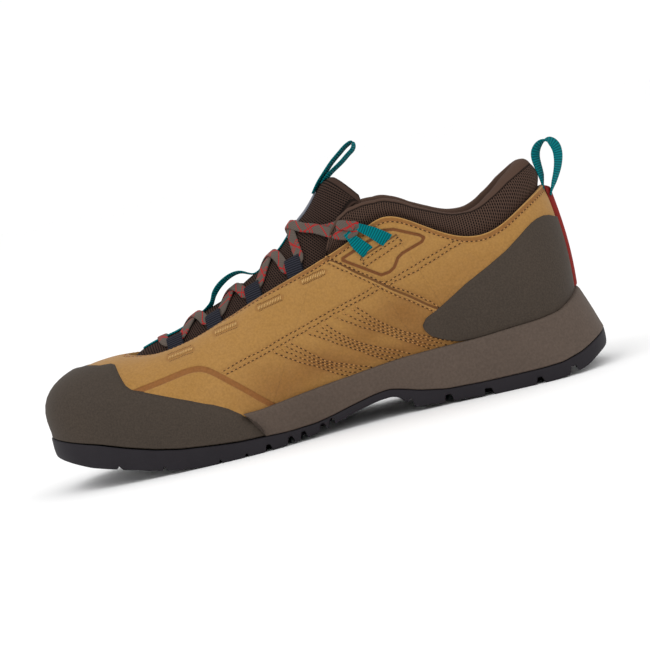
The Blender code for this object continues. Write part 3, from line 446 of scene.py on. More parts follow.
def swept_mesh(name, grid, materials, wrap_u=False, cap=False, tones=None, slots=None, sharp=None):
    """Closed mesh over a grid of rings, with its map Weave in millimetres along and across.
    tones are values for each point, slots the material of each row of faces."""
    grid = np.asarray(grid, float)
    nu, nv = grid.shape[:2]
    along = np.linalg.norm(np.diff(grid, axis=0, append=grid[:1]), axis=2).mean(axis=1)
    across = np.linalg.norm(np.diff(grid, axis=1, append=grid[:, :1]), axis=2)
    u_at = np.concatenate([[0], np.cumsum(along)])
    v_at = np.concatenate([np.zeros((nu, 1)), np.cumsum(across, axis=1)], axis=1)
    v_at = np.broadcast_to(v_at.mean(axis=0), v_at.shape)
    mu = nu if wrap_u else nu - 1
    a, b = np.meshgrid(np.arange(mu), np.arange(nv), indexing="ij")
    a, b = a.ravel(), b.ravel()
    corners = [(a, b), (a + 1, b), (a + 1, b + 1), (a, b + 1)]
    faces = np.column_stack([(i % nu) * nv + (j % nv) for i, j in corners])
    maps = np.stack([np.column_stack([u_at[i], v_at[0][j]]) for i, j in corners], axis=1)
    mesh = bpy.data.meshes.new(name)
    mesh.vertices.add(nu * nv)
    mesh.vertices.foreach_set("co", place(grid.reshape(-1, 3)).ravel())
    mesh.loops.add(faces.size)
    mesh.loops.foreach_set("vertex_index", faces.ravel())
    mesh.polygons.add(len(faces))
    mesh.polygons.foreach_set("loop_start", np.arange(len(faces)) * 4)
    mesh.update(calc_edges=True)
    layer = mesh.uv_layers.new(name="Weave")
    layer.data.foreach_set("uv", maps.reshape(-1, 2).ravel())
    if slots is not None:
        mesh.polygons.foreach_set("material_index", np.asarray(slots)[b].astype(np.int32))
    for key, values in (tones or {}).items():
        mesh.attributes.new(key, "FLOAT", "POINT").data.foreach_set("value", np.ravel(values))
    work = bmesh.new()
    work.from_mesh(mesh)
    work.verts.ensure_lookup_table()
    if cap:
        for start in (0, (nu - 1) * nv):
            work.faces.new([work.verts[start + j] for j in range(nv)])
    bmesh.ops.remove_doubles(work, verts=work.verts, dist=0.000002)
    bmesh.ops.dissolve_degenerate(work, edges=work.edges, dist=0.0000005)
    bmesh.ops.recalc_face_normals(work, faces=work.faces)
    work.to_mesh(mesh)
    work.free()
    mesh.polygons.foreach_set("use_smooth", np.ones(len(mesh.polygons), bool))
    if sharp:
        mesh.set_sharp_from_angle(angle=math.radians(sharp))
    item = bpy.data.objects.new(name, mesh)
    for made in materials:
        item.data.materials.append(made)
    bpy.context.scene.collection.objects.link(item)
    return item


def belongs(item, slot, *nodes):
    """The piece rides on the shoe and stands for CAD nodes, which it hides; slot is not used."""
    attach(item, "root")
    if nodes:
        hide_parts(*nodes)


# Waxed nubuck: sanded, so matt with a short nap, and browner where the marking tool pressed it.
# Painted shade browns it in patches over the waist and quarter, in a band along the sole and along
# the needle rows. Painted highlights pale its top edge and the lapped panel edge.
nubuck, tree, shader = start_material("nubuck_waxed_tan", 0.8, Specular_IOR_Level=0.2, Sheen_Weight=0.06,
                                      Sheen_Roughness=0.5)
spot = add(tree, "ShaderNodeTexCoord").outputs["Object"]
clouds = add(tree, "ShaderNodeTexNoise", {"Vector": spot, "Scale": 38.0, "Detail": 4.0})
grain = add(tree, "ShaderNodeTexNoise", {"Vector": spot, "Scale": 900.0, "Detail": 3.0})
nap = add(tree, "ShaderNodeTexNoise", {"Vector": spot, "Scale": 260.0, "Detail": 2.0})
# Painted shade from the upper's attribute browns the tan toward #70461f.
shading = add(tree, "ShaderNodeAttribute", attribute_name="painted_shade").outputs["Fac"]
base = add(tree, "ShaderNodeMix", {0: clouds.outputs["Fac"], 6: linear("#946c35"), 7: linear("#9e7641")},
           data_type="RGBA")
tone = add(tree, "ShaderNodeMix", {0: shading, 6: base.outputs[2], 7: linear("#70461f")}, data_type="RGBA")
MARKS = (
    # distance, middle, half width, soft edge, shade, strength, height
    ("outline_gap", 0.0, 0.55, 0.4, "#693d1e", 0.95, -0.8),
    ("stripe_gap", 0.0, 1.25, 0.35, "#7a4a24", 0.8, -0.6),
    # Painted shadow: a dark line in the gap above the lapped panel edge.
    ("seam_gap", 0.4, 0.4, 0.35, "#573318", 0.8, -0.6),
    # Painted highlight: a pale line on the lapped panel's raised edge.
    ("seam_gap", -0.6, 0.2, 0.35, "#b58a4f", 0.35, 0.1),
    # Painted shade: a dark line in the groove of the slit.
    ("slit_gap", 0.0, 0.25, 0.35, "#4f3018", 0.8, -0.6),
    ("tack_gap", 0.0, 1.5, 0.9, "#7d5229", 0.35, 0.0),
    ("edge_gap", 1.6, 0.9, 0.5, "#7d5228", 0.75, -0.2),
    # Painted highlight: a pale line along the top of the leather's edge.
    ("edge_gap", 0.0, 0.2, 0.2, "#b58a50", 0.6, 0.0),
)
relief = 0.0
for key, middle, half_width, soft_edge, shade, strength, rise in MARKS:
    gap = add(tree, "ShaderNodeAttribute", attribute_name=key).outputs["Fac"]
    away = add(tree, "ShaderNodeMath", {0: gap, 1: middle}, operation="SUBTRACT")
    off = add(tree, "ShaderNodeMath", {0: away.outputs[0]}, operation="ABSOLUTE")
    mark = add(tree, "ShaderNodeMapRange", {0: off.outputs[0], 1: half_width, 2: half_width + soft_edge,
                                            3: strength, 4: 0.0})
    tone = add(tree, "ShaderNodeMix", {0: mark.outputs[0], 6: tone.outputs[2], 7: linear(shade)},
               data_type="RGBA")
    relief = add(tree, "ShaderNodeMath", {0: mark.outputs[0], 1: rise, 2: relief},
                 operation="MULTIPLY_ADD").outputs[0]
speck = add(tree, "ShaderNodeMapRange", {0: grain.outputs["Fac"], 1: 0.3, 2: 0.7, 3: 0.88, 4: 1.1})
shaded = add(tree, "ShaderNodeVectorMath", {0: tone.outputs[2], "Scale": speck.outputs[0]}, operation="SCALE")
tree.links.new(shaded.outputs[0], shader.inputs["Base Color"])
rough = add(tree, "ShaderNodeMapRange", {0: nap.outputs["Fac"], 1: 0.3, 2: 0.7, 3: 0.72, 4: 0.9})
tree.links.new(rough.outputs[0], shader.inputs["Roughness"])
fine = add(tree, "ShaderNodeBump", {"Strength": 0.35, "Distance": 0.00015, "Height": grain.outputs["Fac"]})
soft = add(tree, "ShaderNodeBump", {"Strength": 0.25, "Distance": 0.0004, "Height": nap.outputs["Fac"],
                                    "Normal": fine.outputs[0]})
cut = add(tree, "ShaderNodeBump", {"Strength": 0.8, "Distance": 0.0005, "Height": relief,
                                   "Normal": soft.outputs[0]})
tree.links.new(cut.outputs[0], shader.inputs["Normal"])


def brushed_knit(name, scale, dark, light):
    """Brushed polyester knit: soft and without gloss, with the small pits of its loops."""
    made, tree, shader = start_material(name, 0.95, Sheen_Weight=0.1)
    spot = add(tree, "ShaderNodeTexCoord").outputs["Object"]
    loops = add(tree, "ShaderNodeTexVoronoi", {"Vector": spot, "Scale": scale}).outputs["Distance"]
    shade = add(tree, "ShaderNodeMix", {0: loops, 6: linear(dark), 7: linear(light)}, data_type="RGBA")
    tree.links.new(shade.outputs[2], shader.inputs["Base Color"])
    bump = add(tree, "ShaderNodeBump", {"Strength": 0.4, "Distance": 0.0003, "Height": loops})
    tree.links.new(bump.outputs[0], shader.inputs["Normal"])
    return made


# Brushed knit lining behind the leather: soft, dark and without gloss.
lining = brushed_knit("knit_lining_brown", 900.0, "#30261f", "#5b4c40")

q = np.linspace(0, 2, UPPER_COLUMNS, endpoint=False)
v = np.linspace(0, 1, UPPER_ROWS)
skin, normal = skin_and_normal(q, v)
rib_length = np.linalg.norm(np.diff(skin, axis=1), axis=2).sum(axis=1)
from_edge = rib_length[:, None] * (1 - v)[None, :]
lift, tones = leather_relief(skin, from_edge)
outer = skin + normal * lift[:, :, None]
inner_v = np.array([1.0, 0.97, 0.9, 0.8, 0.65, 0.5, 0.3, 0.15, 0.0])
wall, wall_normal = skin_and_normal(q, inner_v)
wall = wall - wall_normal * WALL
wall[:, -1, 2] = skin[:, 0, 2]
top, top_normal = skin[:, -1:], normal[:, -1:]
edge_ring = [top + top_normal * a + np.array((0, 0, b))
             for a, b in ((-0.45, 0.18), (-0.9, 0.26), (-1.4, 0.26), (-1.9, 0.2))]
upper_grid = np.concatenate([outer] + edge_ring + [wall], axis=1)
pad = upper_grid.shape[1] - UPPER_ROWS
upper_tones = {key: np.concatenate([values, np.repeat(values[:, -1:], pad, axis=1)], axis=1)
               for key, values in tones.items()}
upper_slots = [0] * (UPPER_ROWS + 3) + [1] * (pad - 3)
upper = swept_mesh("upper_leather", upper_grid, [nubuck, lining], wrap_u=True, tones=upper_tones,
                   slots=upper_slots)
belongs(upper, "nubuck_tan", "upper")


# The needlework: lockstitched thread with a needle hole at each end of a stitch, and dense bar
# tacks that hold the lace webbing behind the leather.

tree = bpy.data.node_groups.new("row_of_stitches", "GeometryNodeTree")
tree.interface.new_socket("Lines", in_out="INPUT", socket_type="NodeSocketGeometry")
STITCH_INPUTS = {}
for key in ("Leather", "Pitch", "Length", "Width", "Height", "Sink", "Shift", "Turn", "Thread"):
    kind = "NodeSocket" + {"Leather": "Object", "Thread": "Material"}.get(key, "Float")
    STITCH_INPUTS[key] = tree.interface.new_socket(key, in_out="INPUT", socket_type=kind).identifier
tree.interface.new_socket("Stitches", in_out="OUTPUT", socket_type="NodeSocketGeometry")
given = add(tree, "NodeGroupInput").outputs
paths = add(tree, "GeometryNodeMeshToCurve", {"Mesh": given["Lines"]})
spots = add(tree, "GeometryNodeCurveToPoints", {"Curve": paths.outputs[0], "Length": given["Pitch"]},
            mode="LENGTH")
target = add(tree, "GeometryNodeObjectInfo", {"Object": given["Leather"]}, transform_space="RELATIVE")
facing, seat = (add(tree, "GeometryNodeSampleNearestSurface",
                    {"Mesh": target.outputs["Geometry"], "Value": add(tree, kind).outputs[0]},
                    data_type="FLOAT_VECTOR")
                for kind in ("GeometryNodeInputNormal", "GeometryNodeInputPosition"))
outward = add(tree, "ShaderNodeVectorMath", {0: facing.outputs[0], "Scale": given["Sink"]},
              operation="SCALE")
rested = add(tree, "ShaderNodeVectorMath", {0: seat.outputs[0], 1: outward.outputs[0]},
             operation="SUBTRACT")
laid = add(tree, "GeometryNodeSetPosition", {"Geometry": spots.outputs["Points"],
                                             "Position": rested.outputs[0]})
upright = add(tree, "FunctionNodeAlignRotationToVector", {"Vector": facing.outputs[0]}, axis="Z")
aligned = add(tree, "FunctionNodeAlignRotationToVector", {"Rotation": upright.outputs[0],
                                                          "Vector": spots.outputs["Tangent"]},
              axis="X", pivot_axis="Z")
slant = add(tree, "ShaderNodeCombineXYZ", {"Z": given["Turn"]})
turned = add(tree, "FunctionNodeRotateRotation", {"Rotation": aligned.outputs[0],
                                                  "Rotate By": slant.outputs[0]}, rotation_space="LOCAL")
bead = add(tree, "GeometryNodeMeshUVSphere", {"Segments": 6, "Rings": 4, "Radius": 0.5})
size = add(tree, "ShaderNodeCombineXYZ", {"X": given["Length"], "Y": given["Width"], "Z": given["Height"]})
away = add(tree, "ShaderNodeCombineXYZ", {"X": given["Shift"]})
shape = add(tree, "GeometryNodeTransform", {"Geometry": bead.outputs["Mesh"], "Scale": size.outputs[0],
                                            "Translation": away.outputs[0]})
copies = add(tree, "GeometryNodeInstanceOnPoints", {"Points": laid.outputs[0], "Instance": shape.outputs[0],
                                                    "Rotation": turned.outputs[0]})
real = add(tree, "GeometryNodeRealizeInstances", {"Geometry": copies.outputs[0]})
smooth = add(tree, "GeometryNodeSetShadeSmooth", {"Geometry": real.outputs[0]})
dressed = add(tree, "GeometryNodeSetMaterial", {"Geometry": smooth.outputs[0], "Material": given["Thread"]})
add(tree, "NodeGroupOutput", {0: dressed.outputs[0]})
stitch_tree = tree


def sew(name, lines, surface, thread, pitch, length, width, tall, sink, shift, turn):
    """Stitches along lines that lie near a surface, as one plain mesh; sizes in millimetres."""
    points = np.concatenate(lines)
    starts = np.cumsum([0] + [len(line) for line in lines])
    edges = [(k, k + 1) for a, b in zip(starts[:-1], starts[1:]) for k in range(a, b - 1)]
    mesh = bpy.data.meshes.new(name)
    mesh.from_pydata(place(points).tolist(), edges, [])
    item = bpy.data.objects.new(name, mesh)
    bpy.context.scene.collection.objects.link(item)
    step = item.modifiers.new("stitching", "NODES")
    step.node_group = stitch_tree
    for key, value in (("Leather", surface), ("Pitch", pitch * MM), ("Length", length * MM),
                       ("Width", width * MM), ("Height", tall * MM), ("Sink", sink * MM),
                       ("Shift", shift * MM), ("Turn", math.radians(turn)), ("Thread", thread)):
        step[STITCH_INPUTS[key]] = value
    done = bpy.data.meshes.new_from_object(item.evaluated_get(bpy.context.evaluated_depsgraph_get()))
    item.modifiers.remove(step)
    item.data = done
    return item


# Bonded polyester thread: twisted, with a faint gloss. The holes beside it are plain pits, dark with
# painted shade, drawn longer than they are, so that they show between the stitches.
def thread_material(name, hex_text, roughness):
    made, tree, shader = start_material(name, roughness, Specular_IOR_Level=0.4)
    spot = add(tree, "ShaderNodeTexCoord").outputs["Object"]
    twist = add(tree, "ShaderNodeTexNoise", {"Vector": spot, "Scale": 2200.0, "Detail": 1.0})
    value = add(tree, "ShaderNodeMapRange", {0: twist.outputs["Fac"], 1: 0.3, 2: 0.7, 3: 0.75, 4: 1.2})
    shaded = add(tree, "ShaderNodeVectorMath", {0: linear(hex_text)[:3], "Scale": value.outputs[0]},
                 operation="SCALE")
    tree.links.new(shaded.outputs[0], shader.inputs["Base Color"])
    return made


tan_thread = thread_material("polyester_thread_tan", "#a87840", 0.6)
pale_thread = thread_material("polyester_thread_pale", "#c29a5e", 0.55)
# Painted shade fills the needle holes.
needle_hole = thread_material("needle_hole_painted_shade", "#3f2712", 0.95)

side_index = {}
for side in (-1, 1):
    q_side = np.linspace(0.02, 1.0, 700)
    q_side = q_side if side < 0 else 2 - q_side
    side_grid, _ = skin_and_normal(q_side, np.linspace(0, 1, 160))
    flat = side_grid.reshape(-1, 3)
    tree_of = kdtree.KDTree(len(flat))
    for k, (s, _, z) in enumerate(flat):
        tree_of.insert((s, 0, z), k)
    tree_of.balance()
    side_index[side] = (tree_of, flat)


def on_side(side, line, smooth=True):
    """A side-view line laid on the skin of one side."""
    if smooth:
        line = smooth_line(line)
    else:
        line = np.concatenate([np.linspace(a, b, max(2, int(math.dist(a, b) / LINE_STEP)))
                               for a, b in zip(line[:-1], line[1:])])
    tree_of, flat = side_index[side]
    return np.array([flat[tree_of.find((s, 0, z))[1]] for s, z in line])


def edge_line(distance):
    """The line all round at a distance below the leather's edge."""
    q = np.linspace(0.0, 2.0, 900)
    ribs = raw_skin(q, np.broadcast_to(np.linspace(0, 1, 40), (len(q), 40)))
    length = np.linalg.norm(np.diff(ribs, axis=1), axis=2).sum(axis=1)
    return raw_skin(q, (1 - distance / length)[:, None])[:, 0]


TACK_HALF_WIDTH = 1.6
rows = [edge_line(EDGE_ROW)]
tacks, tack_rims = [], []
for side in (-1, 1):
    for name, line in SIDE_LINES.items():
        if name != "panel_seam":
            rows.append(on_side(side, line, smooth=name != "slit_rows"))
    rows += [on_side(side, line) for line in FAN_ROWS]
    tacks += [on_side(side, line, smooth=False) for line in BAR_TACKS]
    for (s0, z0), (s1, z1) in BAR_TACKS:
        along = np.array((s1 - s0, z1 - z0)) / math.dist((s0, z0), (s1, z1))
        for rim_side in (-TACK_HALF_WIDTH, TACK_HALF_WIDTH):
            shift = np.array((-along[1], along[0])) * rim_side
            tack_rims.append(on_side(side, [shift + (s0, z0), shift + (s1, z1)], smooth=False))
SEWING = (
    # name, lines, thread, pitch, length, width, height, sink, shift along the line, turn in degrees
    ("leather_stitches", rows, tan_thread, 2.5, 1.4, 0.75, 0.75, -0.05, 0.0, 0.0),
    ("needle_holes", rows, needle_hole, 2.5, 1.5, 0.75, 0.5, 0.02, 1.25, 0.0),
    ("bar_tacks", tacks, pale_thread, 0.9, 2.7, 0.62, 0.8, -0.15, 0.0, 74.0),
    ("bar_tack_holes", tack_rims, needle_hole, 0.9, 0.55, 0.6, 0.3, 0.0, 0.0, 0.0),
)
for name, lines, thread, *sizes in SEWING:
    belongs(sew(name, lines, upper, thread, *sizes), "nubuck_tan")


# The rand and the heel patches: thin rubber-coated cloth cut to an outline and cemented round
# the toe and the heel. Their edges are skived, so they end in a low rounded step.

RAND_EDGE = ((-20, 90), (22, 90), (40, 80), (43.6, 61.5), (45.2, 58.5), (46.9, 54.1), (49.0, 49.5),
             (52.4, 46.3), (58.5, 44.2), (75.3, 37.3), (91.0, 31.2), (98.1, 27.1), (104.5, 22.2), (114, 13))
RAND_NOTCH = ((0, 22.5), (10, 25.5), (22.5, 38.5), (26, 60), (90, 400))
MIDSOLE_FRONT = ((104.5, 22.2), (110.2, 17.1), (113.2, 12.0), (113.6, 0.0))
OUTSOLE_TOP = ((0, 30.0), (4, 29.0), (12, 27.0), (28, 23.0), (42, 18.3), (56, 14.3), (69, 11.6),
               (86, 9.6), (99, 8.3), (113, 7.8), (126, 7.0), (140, 7.4), (149, 8.8), (158, 10.9),
               (166, 12.6), (174, 14.2), (181, 14.8), (188, 13.2), (197, 10.5), (210, 8.1),
               (230, 7.5), (260, 7.6), (272, 8.2), (283, 10.8), (291, 14.0), (300, 17.6))
MIDSOLE_RIM = ((85, 20.0), (105, 21.9), (114, 21.9), (124, 23.0), (138, 24.5), (152, 25.8),
               (164, 26.8), (178, 28.2), (192, 29.4), (216, 30.2), (232, 30.4), (249, 31.6),
               (265, 32.4), (275, 33.8), (283, 37.8), (289, 42.6), (293, 45.8), (300, 45.8))
HEEL_PATCH_TOP = ((190, 20), (205.4, 40.4), (205.6, 43.6), (208, 46.7), (217, 51.0), (232, 59.6),
                  (245, 65.5), (256, 70.9), (265, 76.6), (269, 79.3), (272.5, 81.3),
                  (276, 82.7), (280, 83.2), (283, 82.6), (286, 81.0), (300, 74.0))
HEEL_PATCH_LOW = ((205.6, 41.6), (206.6, 39.4), (208.8, 36.6), (214.7, 33.4), (222.0, 30.6), (232, 30.0),
                  (249, 31.2), (265, 31.8), (275, 33.0), (283, 36.6), (289, 40.6), (293, 43.0), (300, 43.0))
RAND_THICKNESS = 2.0
PATCH_THICKNESS = 1.2
STRIP_HALF_WIDTH = 4.4
RAND_TAIL = 113.4
PATCH_START = 200.0
STRIP_FOOT = 41.0
LOWEST_SHARE = -8.0


def moulded(name, roughness, specular, dark, light, cloud_scale, grain_scale, depth,
            speck=None, bloom=None):
    """Moulded rubber or foam: large faint clouds of two shades under a fine grain from the mould.
    speck is the range of shade over the grain, bloom the range of roughness over the clouds."""
    made, tree, shader = start_material(name, roughness, Specular_IOR_Level=specular)
    spot = add(tree, "ShaderNodeTexCoord").outputs["Object"]
    clouds = add(tree, "ShaderNodeTexNoise", {"Vector": spot, "Scale": cloud_scale, "Detail": 3.0})
    grain = add(tree, "ShaderNodeTexNoise", {"Vector": spot, "Scale": grain_scale, "Detail": 2.0})
    colour = add(tree, "ShaderNodeMix", {0: clouds.outputs["Fac"], 6: linear(dark), 7: linear(light)},
                 data_type="RGBA").outputs[2]
    if speck:
        value = add(tree, "ShaderNodeMapRange", {0: grain.outputs["Fac"], 1: 0.3, 2: 0.7,
                                                 3: speck[0], 4: speck[1]})
        colour = add(tree, "ShaderNodeVectorMath", {0: colour, "Scale": value.outputs[0]},
                     operation="SCALE").outputs[0]
    tree.links.new(colour, shader.inputs["Base Color"])
    if bloom:
        rough = add(tree, "ShaderNodeMapRange", {0: clouds.outputs["Fac"], 1: 0.3, 2: 0.7,
                                                 3: bloom[0], 4: bloom[1]})
        tree.links.new(rough.outputs[0], shader.inputs["Roughness"])
    bump = add(tree, "ShaderNodeBump", {"Strength": 0.3, "Distance": depth, "Height": grain.outputs["Fac"]})
    tree.links.new(bump.outputs[0], shader.inputs["Normal"])
    return made


# Rubber-coated cloth: matt and even, with a very fine moulded grain.
rand_rubber = moulded("rubber_coated_cloth", 0.75, 0.15, "#39312a", "#443b33", 30.0, 1100.0, 0.0002,
                      speck=(0.86, 1.14), bloom=(0.68, 0.82))


def cemented_sheet(name, q, low, high, thickness, rows, made):
    """Sheet laid on the skin between two shares of each rib, with a rounded edge all round."""
    shares = np.linspace(0, 1, rows)
    shares = shares * 0.7 + 0.3 * (1 - np.cos(math.pi * shares)) / 2
    v = low[:, None] + (high - low)[:, None] * shares[None, :]
    skin, normal = skin_and_normal(q, v)
    reach = np.zeros(skin.shape[:2])
    reach[:, 1:] = np.cumsum(np.linalg.norm(np.diff(skin, axis=1), axis=2), axis=1)
    end = np.minimum(reach, reach[:, -1:] - reach)
    rise = thickness * np.sqrt(np.clip(1 - (1 - np.clip(end / 0.9, 0, 1)) ** 2, 0.0, 1))
    outer = skin + normal * (GAP + rise)[:, :, None]
    inner = skin + normal * (GAP * 0.6)
    return swept_mesh(name, np.concatenate([outer, inner[:, ::-1]], axis=1), [made], cap=True)


def crossing(q, inside):
    """Highest share of each rib that is inside; inside is positive there and falls with height."""
    v = np.concatenate([np.linspace(LOWEST_SHARE, -0.2, 24), np.linspace(0, 1, 240)])
    grid = raw_skin(q, np.broadcast_to(v, (len(q), len(v))))
    values = inside(grid[:, :, 0], grid[:, :, 1], grid[:, :, 2])
    found = np.empty(len(q))
    for k, row in enumerate(values):
        out = np.nonzero(row < 0)[0]
        n = out[0] if len(out) else len(v) - 1
        m = max(n - 1, 0)
        f = row[m] / (row[m] - row[n]) if row[n] < 0 <= row[m] else 0.0
        found[k] = v[m] + (v[n] - v[m]) * f
    return found


def below_line(line):
    """A test for crossing: positive below a line that is seen from the side."""
    knots, heights = np.array(line, float).T
    return lambda s, y, z: np.interp(s, knots, heights) - z


def rand_inside(s, y, z):
    top = below_line(RAND_EDGE)(s, y, z)
    notch = np.interp(np.abs(y), *np.array(RAND_NOTCH, float).T) - s
    front = np.array(MIDSOLE_FRONT, float)[::-1]
    tail = np.interp(z, front[:, 1], front[:, 0]) - GAP - s
    return np.minimum(np.minimum(top, notch), tail)


q_medial, q_lateral = loop_q(-1, RAND_TAIL), loop_q(1, RAND_TAIL) - 2
q = np.linspace(q_lateral, q_medial, 420)
rows_q, _, _ = ribs_at(q)
low = height(OUTSOLE_TOP, rows_q[:, 0] - 1.2) - height(FOOT_BED, rows_q[:, 0])
high = np.maximum(crossing(q, rand_inside), low + 0.02)
rand = cemented_sheet("toe_rand_rubber", q, low, high, RAND_THICKNESS, 60, rand_rubber)
belongs(rand, "rand_brown", "toe_rand")

q_back = np.linspace(0.95, 1.05, 400)
for side, label in ((-1, "medial"), (1, "lateral")):
    near_strip = float(np.interp(side * (STRIP_HALF_WIDTH + GAP), ribs_at(q_back)[0][:, 1], q_back))
    q = np.linspace(loop_q(side, PATCH_START), near_strip, 300)
    high, low = crossing(q, below_line(HEEL_PATCH_TOP)), crossing(q, below_line(HEEL_PATCH_LOW))
    keep = high > low + 0.004
    q, high, low = q[keep], high[keep], low[keep]
    patch = cemented_sheet(f"heel_patch_{label}_rubber", q, low, high, PATCH_THICKNESS, 60, rand_rubber)
    belongs(patch, "rand_brown", f"heel_patch_{label}")


# The back strip: a narrow welt of red rubber, moulded with a rounded crown, cemented over the
# back seam and cut square at its top.

# Moulded rubber: satin, with a faint unevenness of tone and surface from the mould.
red_rubber, tree, shader = start_material("moulded_rubber_red", 0.55, Specular_IOR_Level=0.2)
spot = add(tree, "ShaderNodeTexCoord").outputs["Object"]
clouds = add(tree, "ShaderNodeTexNoise", {"Vector": spot, "Scale": 240.0, "Detail": 3.0})
base = add(tree, "ShaderNodeMix", {0: clouds.outputs["Fac"], 6: linear("#6a120c"), 7: linear("#861a12")},
           data_type="RGBA")
tree.links.new(base.outputs[2], shader.inputs["Base Color"])
bump = add(tree, "ShaderNodeBump", {"Strength": 0.2, "Distance": 0.0003, "Height": clouds.outputs["Fac"]})
tree.links.new(bump.outputs[0], shader.inputs["Normal"])

q = np.linspace(*(float(np.interp(y, ribs_at(q_back)[0][:, 1], q_back))
                  for y in (-STRIP_HALF_WIDTH, STRIP_HALF_WIDTH)), 17)
v = np.linspace(share_at_height(np.array([1.0]), [STRIP_FOOT])[0], 0.99, 90)
skin, normal = skin_and_normal(q, v)
crown = 1 - np.abs(np.linspace(-1, 1, len(q))) ** 4
edge = np.sin(np.clip(np.linspace(0, 1, len(v)) * 40, 0, math.pi / 2)) * np.sin(
    np.clip(np.linspace(1, 0, len(v)) * 40, 0, math.pi / 2))
outer = skin + normal * (GAP + 0.7 + 2.3 * crown[:, None] * edge[None, :])[:, :, None]
inner = skin + normal * GAP
strip = swept_mesh("back_strip", np.concatenate([outer, inner[:, ::-1]], axis=1), [red_rubber], cap=True)
belongs(strip, "strip_red", "heel_strip")


# The midsole: a moulded foam cup that wraps the upper from the ball back to the heel, with a
# core under the foot. Its wall is crisp at the rim and swells a little toward the tread.

# Moulded foam: a closed skin, so slightly satin, with a fine pebble from the mould.
foam = moulded("moulded_foam_brown", 0.72, 0.2, "#4b4038", "#584b42", 22.0, 800.0, 0.00025,
               speck=(0.88, 1.1))

MIDSOLE_START = 101
q = np.linspace(loop_q(-1, MIDSOLE_START), loop_q(1, MIDSOLE_START), 560)
rows_q, outward, _ = ribs_at(q)
at_s = rows_q[:, 0]
for _ in range(5):
    rim_share = share_at_height(q, height(MIDSOLE_RIM, at_s))
    at_s = skin_and_normal(q, rim_share[:, None])[0][:, 0, 0]
inner_v = rim_share[:, None] * np.array([1, 0.75, 0.5, 0.25, 0.0])[None, :]
skin, normal = skin_and_normal(q, inner_v)
inner = skin + normal * GAP
out = np.column_stack([outward, np.zeros(len(q))])
low = np.column_stack([rows_q[:, 0:2] + outward * rows_q[:, 7:8], np.zeros(len(q))])
low[:, 2] = height(OUTSOLE_TOP, low[:, 0]) + GAP
rim_out = inner[:, 0] + out * 2.6
up = np.array((0, 0, 1.0))
profile = [low + out * -0.6, low + up * 0.5]
for share, swell in ((0.2, 0.3), (0.4, 0.55), (0.6, 0.62), (0.8, 0.62), (0.93, 0.6)):
    profile.append(rim_out * share + low * (1 - share) + out * swell)
profile += [rim_out + out * 0.35 - up * 0.35, rim_out - out * 0.1, rim_out - out * 0.9 + up * 0.02]
heart = rows_q[:, 0:2] - outward * 14
bed = np.column_stack([heart, height(FOOT_BED, rows_q[:, 0])])
base_in = np.column_stack([heart, height(OUTSOLE_TOP, rows_q[:, 0]) + GAP])
ring = profile + [inner[:, k] for k in range(5)] + [bed, base_in]
midsole_grid = np.stack(ring, axis=1)
front = np.array(MIDSOLE_FRONT, float)[::-1]
limit = np.interp(midsole_grid[:, :, 2], front[:, 1], front[:, 0]) + GAP
midsole_grid[:, :, 0] = np.maximum(midsole_grid[:, :, 0], limit)
midsole = swept_mesh("midsole_foam", midsole_grid, [foam], cap=True, sharp=38)
belongs(midsole, "foam_brown", "midsole")


# The outsole: sticky black rubber, moulded in one with square blocks along its rim and round
# studs inside them, and cemented to the foam. The arch rides clear of the floor.

TREAD_LINE = ((0, 20.8), (5, 18.7), (11, 16.4), (22, 12.2), (39, 7.8), (54, 4.0), (66, 1.7),
              (82, 0), (114, 0), (126, 1.0), (134, 1.6), (142, 2.6), (148, 4.3), (156, 6.3),
              (174, 10.2), (182, 10.7), (186, 8.7), (189, 5.2), (193, 2.6), (209, 1.7),
              (224, 0.9), (234, 0), (264, 0), (272, 0.7), (279, 1.6), (285, 3.2), (293, 7.2), (300, 9.6))
RIM_BLOCKS = ((-5, 35.2), (36.8, 58.2), (59.8, 87.2), (88.8, 101.2), (102.8, 112.0), (115.0, 124.0),
              (127.0, 131.0), (134.0, 141.4), (144.2, 146.6), (149.4, 156.6), (191.6, 208.2),
              (212.0, 228.8), (233.0, 256.2), (259.8, 274.6), (278.4, 305))
BLOCK_WIDTH = 12.0
TREAD_DEPTH = 3.6
STUD_ROWS = ((22, 156), (204, 284))
STUD_PITCH = 15.5
STUD_ROW_STEP = STUD_PITCH * 0.87
STUD_RADIUS = 5.0

# Climbing rubber: dense and dull, with a trace of grey bloom and fine mould texture.
black_rubber = moulded("climbing_rubber_black", 0.68, 0.15, "#1f1c20", "#282529", 60.0, 1000.0, 0.0002)

count = 430
q = np.linspace(0.0, 1.0, count)
medial, lateral = sole_outline(q, 0.5), sole_outline(2 - q, 0.5)
t = np.linspace(0, 1, 110)
plan = medial[:, None, :] * (1 - t)[None, :, None] + lateral[:, None, :] * t[None, :, None]
flat_plan = plan.reshape(-1, 2)
rim_line = sole_outline(np.linspace(0, 2, 500, endpoint=False), 0.5)
rim_gap = np.full(len(flat_plan), 1e9)
for point in rim_line:
    rim_gap = np.minimum(rim_gap, np.hypot(flat_plan[:, 0] - point[0], flat_plan[:, 1] - point[1]))
s, y = flat_plan[:, 0], flat_plan[:, 1]
block = np.zeros(len(s))
for first, last in RIM_BLOCKS:
    block = np.maximum(block, ease(s, first - 0.4, first + 0.4) * (1 - ease(s, last - 0.4, last + 0.4)))
block *= 1 - ease(rim_gap, BLOCK_WIDTH - 0.6, BLOCK_WIDTH + 0.6)
stud = np.zeros(len(s))
